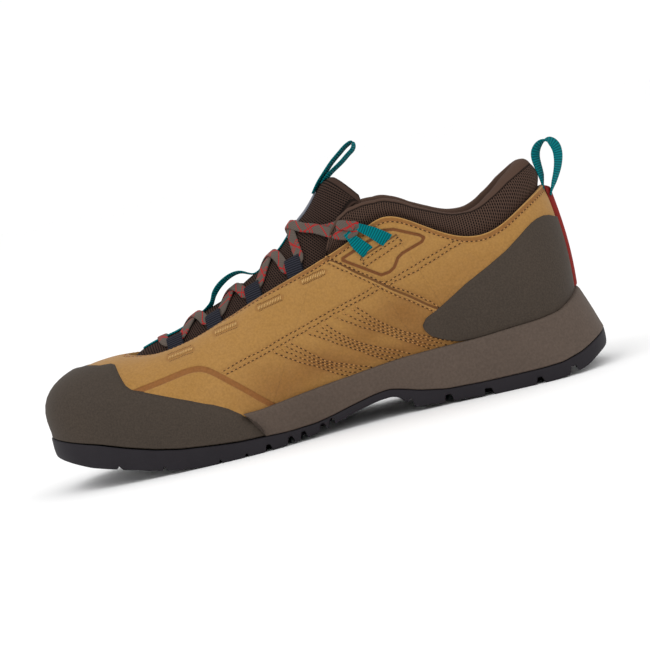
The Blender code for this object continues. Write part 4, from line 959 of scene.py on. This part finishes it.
for first, last in STUD_ROWS:
    at_s = first
    row = 0
    while at_s < last:
        shift = (row % 2 - 1) * STUD_PITCH / 2
        gap_y = np.abs((y - shift + STUD_PITCH / 2) % STUD_PITCH - STUD_PITCH / 2)
        reach = np.hypot(s - at_s, gap_y)
        stud = np.maximum(stud, 1 - ease(reach, STUD_RADIUS - 0.5, STUD_RADIUS + 0.5))
        at_s += STUD_ROW_STEP
        row += 1
stud *= ease(rim_gap, BLOCK_WIDTH + 1.2, BLOCK_WIDTH + 2.4)
lug = np.maximum(block, stud)
arch = ease(s, 154, 158) * (1 - ease(s, 188, 191))
depth = TREAD_DEPTH * (1 - arch) + 0.2 * arch
depth *= 1 - 0.45 * (1 - ease(s, 108, 114)) * (1 - ease(rim_gap, 2.0, 5.0))
under = (height(TREAD_LINE, s) + depth * (1 - lug)).reshape(count, -1)
bottom = np.dstack([plan, under])


def wall_of(edge_low, q_wall):
    """Side wall from the tread up to the foam, a little fuller at its middle."""
    top_line = sole_outline(q_wall)
    high = np.column_stack([top_line, height(OUTSOLE_TOP, top_line[:, 0])])
    steps = []
    for f, swell in ((0.12, 0.25), (0.4, 0.35), (0.75, 0.2), (0.95, 0.05), (1.0, -0.5)):
        steps.append(edge_low * (1 - f) + high * f + np.column_stack(
            [ribs_at(q_wall)[1] * swell, np.zeros(len(q_wall))]))
    return np.stack(steps, axis=1)


lateral_wall = wall_of(bottom[:, -1], 2 - q)
medial_wall = wall_of(bottom[:, 0], q)
outsole = swept_mesh("outsole_rubber", np.concatenate([bottom, lateral_wall, medial_wall[:, ::-1]], axis=1),
                     [black_rubber], sharp=40)
belongs(outsole, "rubber_black", "outsole")


# The insole: a foam sock with a brushed knit top, cut to the inside of the upper and laid loose
# on its bed.

SOCK_THICKNESS = 3.5
SOCK_CLEARANCE = 1.0

# Grey knit: brushed like the lining, with larger loops.
sock_knit = brushed_knit("insole_knit_grey", 700.0, "#3a3836", "#57534f")

q = np.linspace(0.0, 1.0, 220)
t = np.linspace(0, 1, 40)
inset = WALL + SOCK_CLEARANCE
rows_a, out_a, _ = ribs_at(q)
rows_b, out_b, _ = ribs_at(2 - q)
side_a, side_b = rows_a[:, 0:2] - out_a * inset, rows_b[:, 0:2] - out_b * inset
plan = side_a[:, None, :] * (1 - t)[None, :, None] + side_b[:, None, :] * t[None, :, None]
low = height(FOOT_BED, plan[:, :, 0]) + GAP
width = np.linalg.norm(side_b - side_a, axis=1)[:, None] * np.minimum(t, 1 - t)[None, :]
top = low + SOCK_THICKNESS * np.sqrt(np.clip(1 - (1 - np.clip(width / 3.0, 0, 1)) ** 2, 0.02, 1))
insole = swept_mesh("insole_sock", np.concatenate([np.dstack([plan, top]), np.dstack([plan, low])[:, ::-1]],
                                                  axis=1), [sock_knit])
belongs(insole, "insole_grey", "insole")


# The collar: soft foam inside a warp-knit spacer mesh, sewn behind the leather's edge and rolled
# over it. A plain knit binding runs along its top, with a seam below it.

COLLAR = (
    # edge_s, rise, lean, thickness
    (166, 4.0, 0.4, 2.6), (170, 11.0, 0.8, 3.0), (175, 14.8, 1.4, 3.8), (181, 15.6, 2.0, 4.6),
    (188, 13.2, 2.4, 5.4), (195, 10.2, 2.6, 6.0), (204, 9.0, 2.8, 6.6), (214, 9.0, 3.0, 7.0),
    (224, 10.8, 3.2, 7.2), (234, 12.0, 3.4, 7.4), (244, 13.6, 3.6, 7.8), (256, 16.6, 4.0, 8.0),
    (268, 17.4, 4.2, 8.0), (280, 16.8, 4.4, 8.0), (286, 16.0, 4.6, 8.0),
)
RIM_BANDS = ((170, 2.2), (225, 1.0), (240, 0.8), (256, 2.2), (286, 3.6))
LINING_DEPTH = 13.0
COLLAR_RIB_LENGTH = 75
COLLAR_POINTS = 64


def spacer_mesh(name, light, dark):
    """Warp-knit spacer mesh: rice-shaped holes in staggered columns, drawn a little coarser than
    they are so that they show, with plump yarn between them. band_gap is the distance into the
    mesh from the seam of a plain binding."""
    made, tree, shader = start_material(name, 0.9, Specular_IOR_Level=0.08)
    flat = add(tree, "ShaderNodeUVMap", uv_map="Weave").outputs[0]
    parts = add(tree, "ShaderNodeSeparateXYZ", {0: flat})
    column = add(tree, "ShaderNodeMath", {0: parts.outputs[0], 1: 1.25}, operation="DIVIDE")
    number = add(tree, "ShaderNodeMath", {0: column.outputs[0]}, operation="FLOOR")
    half = add(tree, "ShaderNodeMath", {0: number.outputs[0], 1: 0.5}, operation="MULTIPLY")
    row = add(tree, "ShaderNodeMath", {0: parts.outputs[1], 1: 1.45}, operation="DIVIDE")
    moved = add(tree, "ShaderNodeMath", {0: row.outputs[0], 1: half.outputs[0]}, operation="ADD")
    cell_u = add(tree, "ShaderNodeMath", {0: column.outputs[0]}, operation="FRACT")
    cell_v = add(tree, "ShaderNodeMath", {0: moved.outputs[0]}, operation="FRACT")
    cell = add(tree, "ShaderNodeCombineXYZ", {0: cell_u.outputs[0], 1: cell_v.outputs[0]})
    centred = add(tree, "ShaderNodeVectorMath", {0: cell.outputs[0], 1: (0.5, 0.5, 0)}, operation="SUBTRACT")
    shaped = add(tree, "ShaderNodeVectorMath", {0: centred.outputs[0], 1: (1.4, 0.95, 0)},
                 operation="MULTIPLY")
    reach = add(tree, "ShaderNodeVectorMath", {0: shaped.outputs[0]}, operation="LENGTH")
    yarn_part = add(tree, "ShaderNodeMapRange", {0: reach.outputs["Value"], 1: 0.28, 2: 0.46, 3: 0.0, 4: 1.0})
    gap = add(tree, "ShaderNodeAttribute", attribute_name="band_gap").outputs["Fac"]
    plain = add(tree, "ShaderNodeMapRange", {0: gap, 1: 0.0, 2: 0.15, 3: 1.0, 4: 0.0})
    closed = add(tree, "ShaderNodeMath", {0: yarn_part.outputs[0], 1: plain.outputs[0]}, operation="MAXIMUM")
    from_seam = add(tree, "ShaderNodeMath", {0: gap}, operation="ABSOLUTE")
    seam = add(tree, "ShaderNodeMapRange", {0: from_seam.outputs[0], 1: 0.2, 2: 0.6, 3: 0.75, 4: 0.0})
    yarn = add(tree, "ShaderNodeTexNoise", {"Vector": flat, "Scale": 2.6, "Detail": 3.0})
    base = add(tree, "ShaderNodeMix", {0: yarn.outputs["Fac"], 6: linear(dark), 7: linear(light)},
               data_type="RGBA")
    # Painted shade: the holes and the binding's seam line are near-black.
    holed = add(tree, "ShaderNodeMix", {0: closed.outputs[0], 6: linear("#0b0806"), 7: base.outputs[2]},
                data_type="RGBA")
    sewn = add(tree, "ShaderNodeMix", {0: seam.outputs[0], 6: holed.outputs[2], 7: linear("#0b0806")},
               data_type="RGBA")
    tree.links.new(sewn.outputs[2], shader.inputs["Base Color"])
    hills = add(tree, "ShaderNodeMath", {0: yarn.outputs["Fac"], 1: 0.35, 2: closed.outputs[0]},
                operation="MULTIPLY_ADD")
    bump = add(tree, "ShaderNodeBump", {"Strength": 0.9, "Distance": 0.0004, "Height": hills.outputs[0]})
    tree.links.new(bump.outputs[0], shader.inputs["Normal"])
    return made


collar_mesh = spacer_mesh("spacer_mesh_collar", "#59453a", "#3e2e27")
table = np.array(COLLAR, float)
first = loop_q(-1, table[0, 0], 2)
q = np.linspace(first, 2 - first, 420)
rows_q, _, edge_out = ribs_at(q)
depth_v = 1 - LINING_DEPTH / COLLAR_RIB_LENGTH
lining_v = np.array([depth_v, 0.5 + depth_v / 2, 0.98])
skin, normal = skin_and_normal(q, lining_v)
behind = skin - normal * (WALL + GAP + 0.4)
up = np.array((0, 0, 1.0))
rings, seams = [], []
for k in range(len(q)):
    rise, lean, thick = (np.interp(rows_q[k, 2], table[:, 0], table[:, c]) for c in (1, 2, 3))
    edge = np.append(rows_q[k, 2:4], rows_q[k, 4])
    out = np.append(edge_out[k], 0)
    low, mid, high = behind[k]
    shape = [low, mid, high]
    shape += [edge + out * n + up * z for n, z in (
        (-2.4, 1.2), (-0.9 - lean * 0.1, 0.8 + rise * 0.3), (-0.9 - lean * 0.4, rise * 0.66),
        (-1.9 - lean * 0.8, rise * 0.93), (-2.0 - lean - thick * 0.35, rise),
        (-2.2 - lean - thick * 0.8, rise * 0.9), (-2.6 - lean * 0.6 - thick, rise * 0.5),
        (-2.8 - lean * 0.2 - thick, 0))]
    shape += [mid - out * thick * 0.8, low - out * 1.2 - up * 0.6]
    shape = np.array(shape)
    knots = np.arange(len(shape), dtype=float)
    share = np.linspace(0, len(shape), COLLAR_POINTS, endpoint=False)
    fine = cubic(knots, shape, share, period=float(len(shape)))
    from_top = edge[2] + rise - fine[:, 2]
    outside = (share > 2.5) & (share < 7.3)
    past_seam = from_top - np.interp(rows_q[k, 2], *np.array(RIM_BANDS, float).T)
    groove = np.where(outside, np.exp(-(past_seam / 0.5) ** 2), 0)
    fine = fine - out * (groove * 0.45)[:, None]
    rings.append(fine)
    seams.append(np.where(outside, np.clip(past_seam, -5, 5), np.where(share < 2.5, 5, -5)))
collar = swept_mesh("collar_padding", np.array(rings), [collar_mesh], cap=True,
                    tones={"band_gap": np.array(seams)})
belongs(collar, "mesh_brown", "collar")


# The tongue: thin foam between two layers of the same mesh, arched over the instep, with its
# near top edge turned in a plain binding.

TONGUE = (
    # s, z, half_width, drop, thickness
    (40.0, 55.6, 10.0, 3.6, 2.6), (50.0, 58.6, 15.0, 8.0, 3.0), (60.0, 63.4, 18.5, 12.5, 3.6),
    (72.0, 66.2, 21.0, 15.5, 4.0), (84.0, 69.4, 23.0, 18.0, 4.0), (96.0, 74.8, 24.5, 21.0, 4.2),
    (108.0, 79.0, 25.0, 23.5, 4.4), (121.0, 85.6, 25.5, 26.0, 4.6), (133.0, 91.8, 25.5, 26.0, 4.8),
    (143.5, 99.2, 23.5, 24.0, 5.0), (152.0, 107.6, 20.5, 21.0, 5.4), (160.0, 114.2, 19.5, 18.5, 5.8),
    (167.0, 121.6, 18.8, 18.4, 6.0), (171.8, 126.4, 19.2, 21.0, 5.8), (176.4, 129.2, 19.6, 25.0, 4.0),
)
WING_RISE = 5.5
BINDING_FROM = 0.978
SIDE_BINDING_FROM = 0.965
TONGUE_LENGTH = 165.0
TONGUE_POINTS = 72


def tongue_surface(t, shares, lift=0.0):
    """Points across the tongue at place t of its length; shares run from -1 to 1 over its width."""
    table = np.array(TONGUE, float)
    knots = way_along(table[:, :2])
    row = cubic(knots, table, np.array([t * knots[-1]]))[0]
    run = (cubic(knots, table[:, :2], np.array([t * knots[-1] + 0.5]))[0]
           - cubic(knots, table[:, :2], np.array([t * knots[-1] - 0.5]))[0])
    run /= np.linalg.norm(run)
    up = np.array((-run[1], 0, run[0]))
    shares = np.asarray(shares, float)
    fall = row[3] * np.abs(shares) ** (2 + 0.9 * ease(t, 0.86, 1.0))
    points = (np.array((row[0], 0, row[1])) + np.outer(row[2] * shares, (0, 1, 0))
              + np.outer(lift - fall, up))
    points += np.outer(WING_RISE * ease(t, 0.88, 1.0) * np.abs(shares) ** 1.5, (run[0], 0, run[1]))
    return points, up, row[4]


def tongue_place(s):
    t = np.linspace(0, 1, 200)
    return float(np.interp(s, [tongue_surface(k, [0.0])[0][0][0] for k in t], t))


shares = np.sin(np.linspace(-1, 1, TONGUE_POINTS) * math.pi / 2)
rings, seams = [], []
for t in np.linspace(0, 1, 190):
    corner = 1 - 0.1 * np.clip((t - 0.96) / 0.04, 0, 1) ** 2
    top, up_here, thickness = tongue_surface(t, shares * corner)
    thin = thickness * (1 - 0.8 * np.abs(shares) ** 3)
    closing = math.sqrt(max(0.02, 1 - max(0.0, (t - 0.965) / 0.035) ** 2))
    puff = 0.5 * np.exp(-((np.abs(shares) - 0.5) / 0.3) ** 2)
    puff -= 0.45 * np.exp(-((t - BINDING_FROM) / 0.004) ** 2)
    low = top - np.outer(thin * (0.5 + 0.5 * closing), up_here)
    top = top + np.outer(puff - thin * 0.5 * (1 - closing), up_here)
    rings.append(np.vstack([top, low[::-1]]))
    past_seam = np.minimum((BINDING_FROM - t) * TONGUE_LENGTH,
                           (SIDE_BINDING_FROM - np.abs(shares)) * 19 + 12 * (1 - ease(t, 0.84, 0.88)))
    seams.append(np.concatenate([np.clip(past_seam, -5, 5), np.full(TONGUE_POINTS, -5.0)]))
# Painted shade: the tongue's mesh is a darker copy of the collar's.
shaded_tongue_mesh = spacer_mesh("spacer_mesh_tongue_painted_shade", "#483730", "#30231d")
tongue = swept_mesh("tongue_padding", np.array(rings), [shaded_tongue_mesh], cap=True,
                    tones={"band_gap": np.array(seams)})
belongs(tongue, "mesh_brown", "tongue")


# Trim on the tongue: a bare grey tab near its top, a woven keeper strip that lifts off the
# ridge to hold the lace, and a pull loop. The heel has a pull loop of the same webbing.

WEBBING_WIDTH = 7.0


def webbing(name, hex_light, hex_dark, rib):
    """Woven polyester webbing: plump cross ribs over a tight warp, and matt. The ribs are drawn a
    little coarser than they are, so that they show."""
    made, tree, shader = start_material(name, 0.85, Specular_IOR_Level=0.06)
    flat = add(tree, "ShaderNodeUVMap", uv_map="Weave").outputs[0]
    parts = add(tree, "ShaderNodeSeparateXYZ", {0: flat})
    along = add(tree, "ShaderNodeMath", {0: parts.outputs[0], 1: 2 * math.pi / rib}, operation="MULTIPLY")
    wave = add(tree, "ShaderNodeMath", {0: along.outputs[0]}, operation="SINE")
    ribs = add(tree, "ShaderNodeMapRange", {0: wave.outputs[0], 1: -1.0, 2: 0.6, 3: 0.0, 4: 1.0})
    across = add(tree, "ShaderNodeMath", {0: parts.outputs[1], 1: 2 * math.pi / 0.5}, operation="MULTIPLY")
    warp = add(tree, "ShaderNodeMath", {0: across.outputs[0]}, operation="SINE")
    yarn = add(tree, "ShaderNodeTexNoise", {"Vector": flat, "Scale": 3.0, "Detail": 2.0})
    mixed = add(tree, "ShaderNodeMath", {0: ribs.outputs[0], 1: yarn.outputs["Fac"]}, operation="MULTIPLY")
    value = add(tree, "ShaderNodeMapRange", {0: mixed.outputs[0], 1: 0.0, 2: 0.6, 3: 0.0, 4: 1.0})
    base = add(tree, "ShaderNodeMix", {0: value.outputs[0], 6: linear(hex_dark), 7: linear(hex_light)},
               data_type="RGBA")
    tree.links.new(base.outputs[2], shader.inputs["Base Color"])
    hills = add(tree, "ShaderNodeMath", {0: warp.outputs[0], 1: 0.12, 2: ribs.outputs[0]},
                operation="MULTIPLY_ADD")
    bump = add(tree, "ShaderNodeBump", {"Strength": 0.7, "Distance": 0.0003, "Height": hills.outputs[0]})
    tree.links.new(bump.outputs[0], shader.inputs["Normal"])
    return made


teal = webbing("polyester_webbing_teal", "#00787e", "#00484e", 1.3)
dark_web = webbing("polyester_webbing_dark", "#34353e", "#121317", 1.3)


def strap(name, path, across, width, thickness, made, step=0.35, bulge=0.0):
    """Flat band along a path with rounded edges; width may change along it."""
    path = np.asarray(path, float)
    knots = way_along(path)
    count = max(8, int(knots[-1] / step))
    at = np.linspace(0, knots[-1], count)
    fine = cubic(knots, path, at)
    across = np.column_stack([np.interp(at, knots, np.asarray(across, float)[:, k]) for k in range(3)])
    width = np.interp(at, knots, np.broadcast_to(width, len(path)))
    run = np.gradient(fine, axis=0)
    run /= np.linalg.norm(run, axis=1)[:, None]
    across = across - run * (across * run).sum(axis=1)[:, None]
    across /= np.linalg.norm(across, axis=1)[:, None]
    face = np.cross(run, across)
    angle = np.linspace(0, 2 * math.pi, 20, endpoint=False)
    round_y = np.sign(np.cos(angle)) * np.abs(np.cos(angle)) ** 0.45
    round_z = np.sign(np.sin(angle)) * np.abs(np.sin(angle)) ** 0.8
    grid = (fine[:, None, :] + across[:, None, :] * (width / 2)[:, None, None] * round_y[None, :, None]
            + face[:, None, :] * (thickness / 2) * round_z[None, :, None])
    if bulge:
        grid += face[:, None, :] * (bulge * (1 - round_y ** 2))[None, :, None]
    return swept_mesh(name, grid, [made], cap=True)


# Bonded felt: matt, with a faint cloudiness from its fibres.
felt, tree, shader = start_material("bonded_patch_grey", 0.8, Sheen_Weight=0.1)
spot = add(tree, "ShaderNodeTexCoord").outputs["Object"]
clouds = add(tree, "ShaderNodeTexNoise", {"Vector": spot, "Scale": 500.0, "Detail": 3.0})
base = add(tree, "ShaderNodeMix", {0: clouds.outputs["Fac"], 6: linear("#53565f"), 7: linear("#696d77")},
           data_type="RGBA")
tree.links.new(base.outputs[2], shader.inputs["Base Color"])
patch_rings = []
shares = np.linspace(-0.19, 0.19, 24)
rounded = np.sqrt(np.clip(1 - (np.abs(np.linspace(-1, 1, 24)) ** 8), 0, 1))
for k, t in enumerate(np.linspace(tongue_place(147.0), tongue_place(167.6), 30)):
    taper = min(1.0, 0.55 + min(k, 29 - k) * 0.25)
    low, up_here, _ = tongue_surface(t, shares, GAP)
    top = low + np.outer(0.6 * rounded * taper, up_here)
    patch_rings.append(np.vstack([top, low[::-1]]))
tongue_patch = swept_mesh("tongue_tab_grey", np.array(patch_rings), [felt], cap=True)
belongs(tongue_patch, "patch_grey", "tongue_patch")

ridge, tail = ([(s, tongue_surface(tongue_place(s), [0.0], 0.45)[0][0][2]) for s in stops]
               for stops in ((59, 68, 77, 86, 95), (125, 132, 139, 146, 151)))
bow = [(99.2, 77.4), (102.0, 82.0), (107.0, 87.0), (113.4, 90.1), (119.0, 90.4)]
path = [(s, 0, z) for s, z in ridge + bow + tail]
tilt = np.interp([s for s, _, _ in path], (90, 102, 112, 128), (0.0, 0.62, 0.4, 0.0))
across = np.column_stack([tilt * 0, np.cos(tilt), -np.sin(tilt)])
keeper = strap("keeper_strip", path, across, WEBBING_WIDTH, 0.9, teal)
belongs(keeper, "webbing_teal", "tongue_webbing")

path = [(166.2, 0, 121.6), (169.9, 0, 126.4), (175.1, 0, 131.6), (179.9, 0, 136.0), (185.3, 0, 140.0),
        (190.0, 0, 143.0), (192.6, 0, 143.4), (192.6, 0, 141.2), (189.4, 0, 138.1), (184.8, 0, 134.8),
        (180.1, 0, 132.0), (175.6, 0, 129.0), (172.0, 0, 125.6)]
tongue_loop = strap("tongue_pull_loop", path, [(0.22, 0.96, -0.2)] * len(path), 8.0, 0.9, teal)
belongs(tongue_loop, "webbing_teal", "tongue_loop")

path = [(285.0, 0, 95.6), (285.6, 0, 103.0), (285.0, 0, 109.6), (285.4, 0, 115.2), (288.6, 0, 119.4),
        (292.8, 0, 120.4), (296.0, 0, 117.6), (296.8, 0, 111.6), (295.0, 0, 105.0), (291.6, 0, 98.2),
        (287.8, 0, 91.6)]
twist = np.sin(np.linspace(0, math.pi, len(path))) ** 0.5 * math.radians(40)
across = np.column_stack([np.sin(twist), np.cos(twist), twist * 0])
heel_loop = strap("heel_pull_loop", path, across, 9.0, 1.3, teal)
belongs(heel_loop, "webbing_teal", "heel_loop")


# Lacing: dark webbing tabs sewn behind the throat's edge hold a flat lace that zigzags over the
# tongue and ends in the ankle loops, two teal strips on each side from a slit in the leather.

TAB_STATIONS = (77.3, 100.1, 123.8, 147.9)
TAB_WIDTH = 9.0
LACE_WIDTH = 5.4
LACE_THICKNESS = 1.3

tongue_grid = np.array([tongue_surface(t, np.linspace(-1, 1, 121))[0] for t in np.linspace(0, 1, 240)])
tongue_up = np.cross(np.gradient(tongue_grid, axis=0), np.gradient(tongue_grid, axis=1))
tongue_up /= np.linalg.norm(tongue_up, axis=2)[:, :, None]


def on_tongue(s, y, lift):
    """Point above the tongue at (s, y) and the tongue's own upward direction there."""
    gap = np.hypot(tongue_grid[:, :, 0] - s, tongue_grid[:, :, 1] - y)
    near = np.unravel_index(np.argmin(gap), gap.shape)
    p, n = tongue_grid[near], tongue_up[near]
    z = p[2] - (n[0] * (s - p[0]) + n[1] * (y - p[1])) / n[2]
    return np.array((s, y, z)) + n * lift, n


def edge_point(side, s):
    q = np.array([loop_q(side, s, 2)])
    return raw_skin(q, np.array([[1.0]]))[0, 0]


TAB_SHAPE = (
    # share of the way in from the leather's edge, height over the tongue
    (-0.28, 0.3), (0.1, 0.35), (0.45, 0.4), (0.8, 0.45), (0.98, 0.9), (1.0, 1.7), (0.92, 2.4), (0.6, 2.5),
    (0.25, 2.1), (-0.1, 1.2), (-0.28, 0.9),
)
TAB_TIP_HEIGHTS = (66.9, 74.2, 83.9, 92.6)
TAB_TIPS = []
for s, high in zip(TAB_STATIONS, TAB_TIP_HEIGHTS):
    inward = np.linspace(4.0, abs(edge_point(-1, s)[1]) - 3.0, 60)
    TAB_TIPS.append(float(np.interp(-high, [-on_tongue(s, y, 2.4)[0][2] for y in inward], inward)))
for side, label in ((-1, "medial"), (1, "lateral")):
    for k, (s, tip_y) in enumerate(zip(TAB_STATIONS, TAB_TIPS)):
        edge = edge_point(side, s)
        along = edge_point(side, s + 3) - edge_point(side, s - 3)
        path = [on_tongue(s, edge[1] + (side * tip_y - edge[1]) * share, rise)[0]
                for share, rise in TAB_SHAPE]
        tab = strap(f"lace_tab_{label}_{k + 1}_web", path, [along] * len(path), TAB_WIDTH, 0.75, dark_web)
        belongs(tab, "webbing_dark", f"lace_tab_{label}_{k + 1}")

ANKLE_LOOPS = (
    # name, slit ends, middle and its half width, tip (all seen from the side)
    ("lower", (183.1, 85.7), (190.1, 88.2), (182.4, 92.4), 3.7, (178.6, 98.4)),
    ("upper", (194.3, 89.3), (201.4, 92.1), (190.9, 96.6), 3.3, (185.0, 100.6)),
)


def beside(side, s, z, offset):
    """Point beside the leather, seen at (s, z) from the side."""
    tree_of, flat = side_index[side]
    return np.array((s, flat[tree_of.find((s, 0, z))[1]][1] + side * offset, z))


for side, label in ((-1, "medial"), (1, "lateral")):
    for rank, low_end, high_end, middle, half, tip in ANKLE_LOOPS:
        root, middle, tip = (np.array(low_end) + np.array(high_end)) / 2, np.array(middle), np.array(tip)
        run = tip - root
        stops = ((root - run * 0.06, -0.4), (root * 0.85 + middle * 0.15, 0.9), (middle, 1.9),
                 (tip * 0.7 + middle * 0.3, 2.1), (tip + run * 0.06, 0.9), (tip, -0.9),
                 (tip * 0.6 + middle * 0.4, 0.35), (middle, 0.5))
        path = [beside(side, *at, offset) for at, offset in stops]
        flat_way = np.array((high_end[0] - low_end[0], 0, high_end[1] - low_end[1]))
        square_way = np.array((-run[1], 0, run[0])) * -1.0
        square_way *= np.linalg.norm(flat_way) / np.linalg.norm(square_way)
        across = [flat_way, flat_way, (flat_way + square_way) / 2] + [square_way] * 5
        widths = (7.4, 7.5, half * 1.8, 4.6, 3.4, 3.4, 4.2, 5.4)
        loop = strap(f"ankle_loop_{label}_{rank}_web", path, across, widths, 0.8, teal, bulge=-0.5 * side)
        belongs(loop, "webbing_teal", f"ankle_loop_{label}_{rank}")

# Flat braided lace: a tight grey-brown tube with thin red lines crossing it in a zigzag.
braid, tree, shader = start_material("braided_lace_grey", 0.85, Specular_IOR_Level=0.15, Sheen_Weight=0.04)
flat = add(tree, "ShaderNodeUVMap", uv_map="Weave").outputs[0]
parts = add(tree, "ShaderNodeSeparateXYZ", {0: flat})
across_face = add(tree, "ShaderNodeMath", {0: parts.outputs[1], 1: 5.6, 2: 0.0}, operation="PINGPONG")
cell = add(tree, "ShaderNodeMath", {0: parts.outputs[0], 1: 9.0}, operation="PINGPONG")
star = add(tree, "ShaderNodeMath", {0: parts.outputs[0], 1: 18.0}, operation="MODULO")
near_star = add(tree, "ShaderNodeMapRange", {0: star.outputs[0], 1: 7.0, 2: 7.01, 3: 1.0, 4: 0.0})
RED_LINES = (
    # slope, start, whether it runs the whole length of the lace
    (0.62, -0.4, True), (-0.9, 6.2, False), (-0.9, 4.4, False), (0.9, -1.2, False),
)
red = None
for slope, start, everywhere in RED_LINES:
    place_along = cell if everywhere else star
    goal = add(tree, "ShaderNodeMath", {0: place_along.outputs[0], 1: slope, 2: start},
               operation="MULTIPLY_ADD")
    off = add(tree, "ShaderNodeMath", {0: goal.outputs[0], 1: across_face.outputs[0]}, operation="SUBTRACT")
    gap = add(tree, "ShaderNodeMath", {0: off.outputs[0]}, operation="ABSOLUTE")
    line = add(tree, "ShaderNodeMath", {0: gap.outputs[0], 1: 0.36}, operation="LESS_THAN")
    if not everywhere:
        line = add(tree, "ShaderNodeMath", {0: line.outputs[0], 1: near_star.outputs[0]},
                   operation="MULTIPLY")
    red = line if red is None else add(tree, "ShaderNodeMath", {0: red.outputs[0], 1: line.outputs[0]},
                                       operation="MAXIMUM")
yarn = add(tree, "ShaderNodeTexNoise", {"Vector": flat, "Scale": 2.2, "Detail": 2.0})
base = add(tree, "ShaderNodeMix", {0: yarn.outputs["Fac"], 6: linear("#483f39"), 7: linear("#62574f")},
           data_type="RGBA")
coloured = add(tree, "ShaderNodeMix", {0: red.outputs[0], 6: base.outputs[2], 7: linear("#981d1d")},
               data_type="RGBA")
tree.links.new(coloured.outputs[2], shader.inputs["Base Color"])
plait = add(tree, "ShaderNodeTexWave", {"Vector": flat, "Scale": 0.35, "Distortion": 0.5},
            bands_direction="DIAGONAL")
bump = add(tree, "ShaderNodeBump", {"Strength": 0.5, "Distance": 0.0003, "Height": plait.outputs["Fac"]})
tree.links.new(bump.outputs[0], shader.inputs["Normal"])


LACE_LOW, LACE_HIGH, LACE_FLAT, LACE_HELD = 1.4, 2.7, 1.0, 1.4
LACE_FREE = (
    # s, y, z on the inner side: over the wing to the lower loop, round to the upper one, and back
    # into the tongue's padding
    (161.0, -15.0, 105.2), (165.4, -19.5, 103.2), (171.1, -25.0, 100.2), (175.9, -29.0, 98.4),
    (178.8, -30.0, 98.0), (181.6, -30.6, 99.0), (184.2, -31.0, 100.4), (184.4, -31.2, 101.2),
    (182.2, -30.8, 101.8), (178.3, -29.4, 103.0), (174.0, -25.0, 103.6), (169.4, -19.4, 103.0),
    (163.8, -14.0, 103.4),
)


def lace_y(k, side):
    return side * (TAB_TIPS[k] + LACE_WIDTH / 2 * 0.8 + 0.2)


for name, bar in (("lace_first", True), ("lace_second", False)):
    side = 1
    here = TAB_STATIONS[0]
    way = [(here + 1.0, lace_y(0, 1), LACE_HELD), (here + 3.9, lace_y(0, 1), LACE_HELD)]
    if bar:
        way = [(here + 1.0, lace_y(0, 1), LACE_HELD), (here - 3.9, lace_y(0, 1), LACE_HELD),
               (71.0, 7.0, LACE_FLAT), (70.0, 0.0, LACE_LOW), (71.0, -7.0, LACE_FLAT),
               (here - 3.9, lace_y(0, -1), LACE_HELD), (here + 3.9, lace_y(0, -1), LACE_HELD)]
        side = -1
    for k in range(1, 4):
        here, there = TAB_STATIONS[k - 1], TAB_STATIONS[k]
        over = LACE_HIGH if side > 0 else LACE_LOW
        way += [((here + there) / 2 + 2.0, 0.0, over), (there - 4.2, lace_y(k, -side), LACE_HELD),
                (there + 3.9, lace_y(k, -side), LACE_HELD)]
        side = -side
    over = LACE_HIGH if side > 0 else LACE_LOW
    way += [(150.6, 11.0 * side, LACE_FLAT), (150.9, 3.5 * side, over + 0.4),
            (151.6, -2.0 * side, over + 0.4), (154.0, -6.5 * side, LACE_FLAT + 1.0),
            (157.6, -10.8 * side, LACE_FLAT + 1.2)]
    points, facing = [], []
    for (s0, y0, h0), (s1, y1, h1) in zip(way[:-1], way[1:]):
        for f in np.linspace(0, 1, 12, endpoint=False):
            eased = f * f * (3 - 2 * f)
            p, n = on_tongue(s0 + (s1 - s0) * f, y0 + (y1 - y0) * f, h0 + (h1 - h0) * eased)
            points.append(p)
            facing.append(n)
    free = np.array(LACE_FREE) * (1, side, 1)
    knots = way_along(free)
    for at in np.linspace(0, knots[-1], int(knots[-1] / 0.8)):
        points.append(cubic(knots, free, np.array([at]))[0])
        facing.append(np.array((-0.1, -side, 0.35)))
    points, facing = np.array(points), np.array(facing)
    for _ in range(6):
        points[1:-1] = (points[:-2] + 2 * points[1:-1] + points[2:]) / 4
        facing[1:-1] = (facing[:-2] + 2 * facing[1:-1] + facing[2:]) / 4
    points, facing = points[::3], facing[::3]
    across = np.cross(np.gradient(points, axis=0), facing)
    across /= np.linalg.norm(across, axis=1)[:, None]
    for _ in range(3):
        across[1:-1] = (across[:-2] + 2 * across[1:-1] + across[2:]) / 4
    lace = strap(name, points, across, LACE_WIDTH, LACE_THICKNESS, braid, step=0.5)
    if bar:
        belongs(lace, "lace_grey", "lace")
    else:
        belongs(lace, "lace_grey")

bpy.context.view_layer.update()
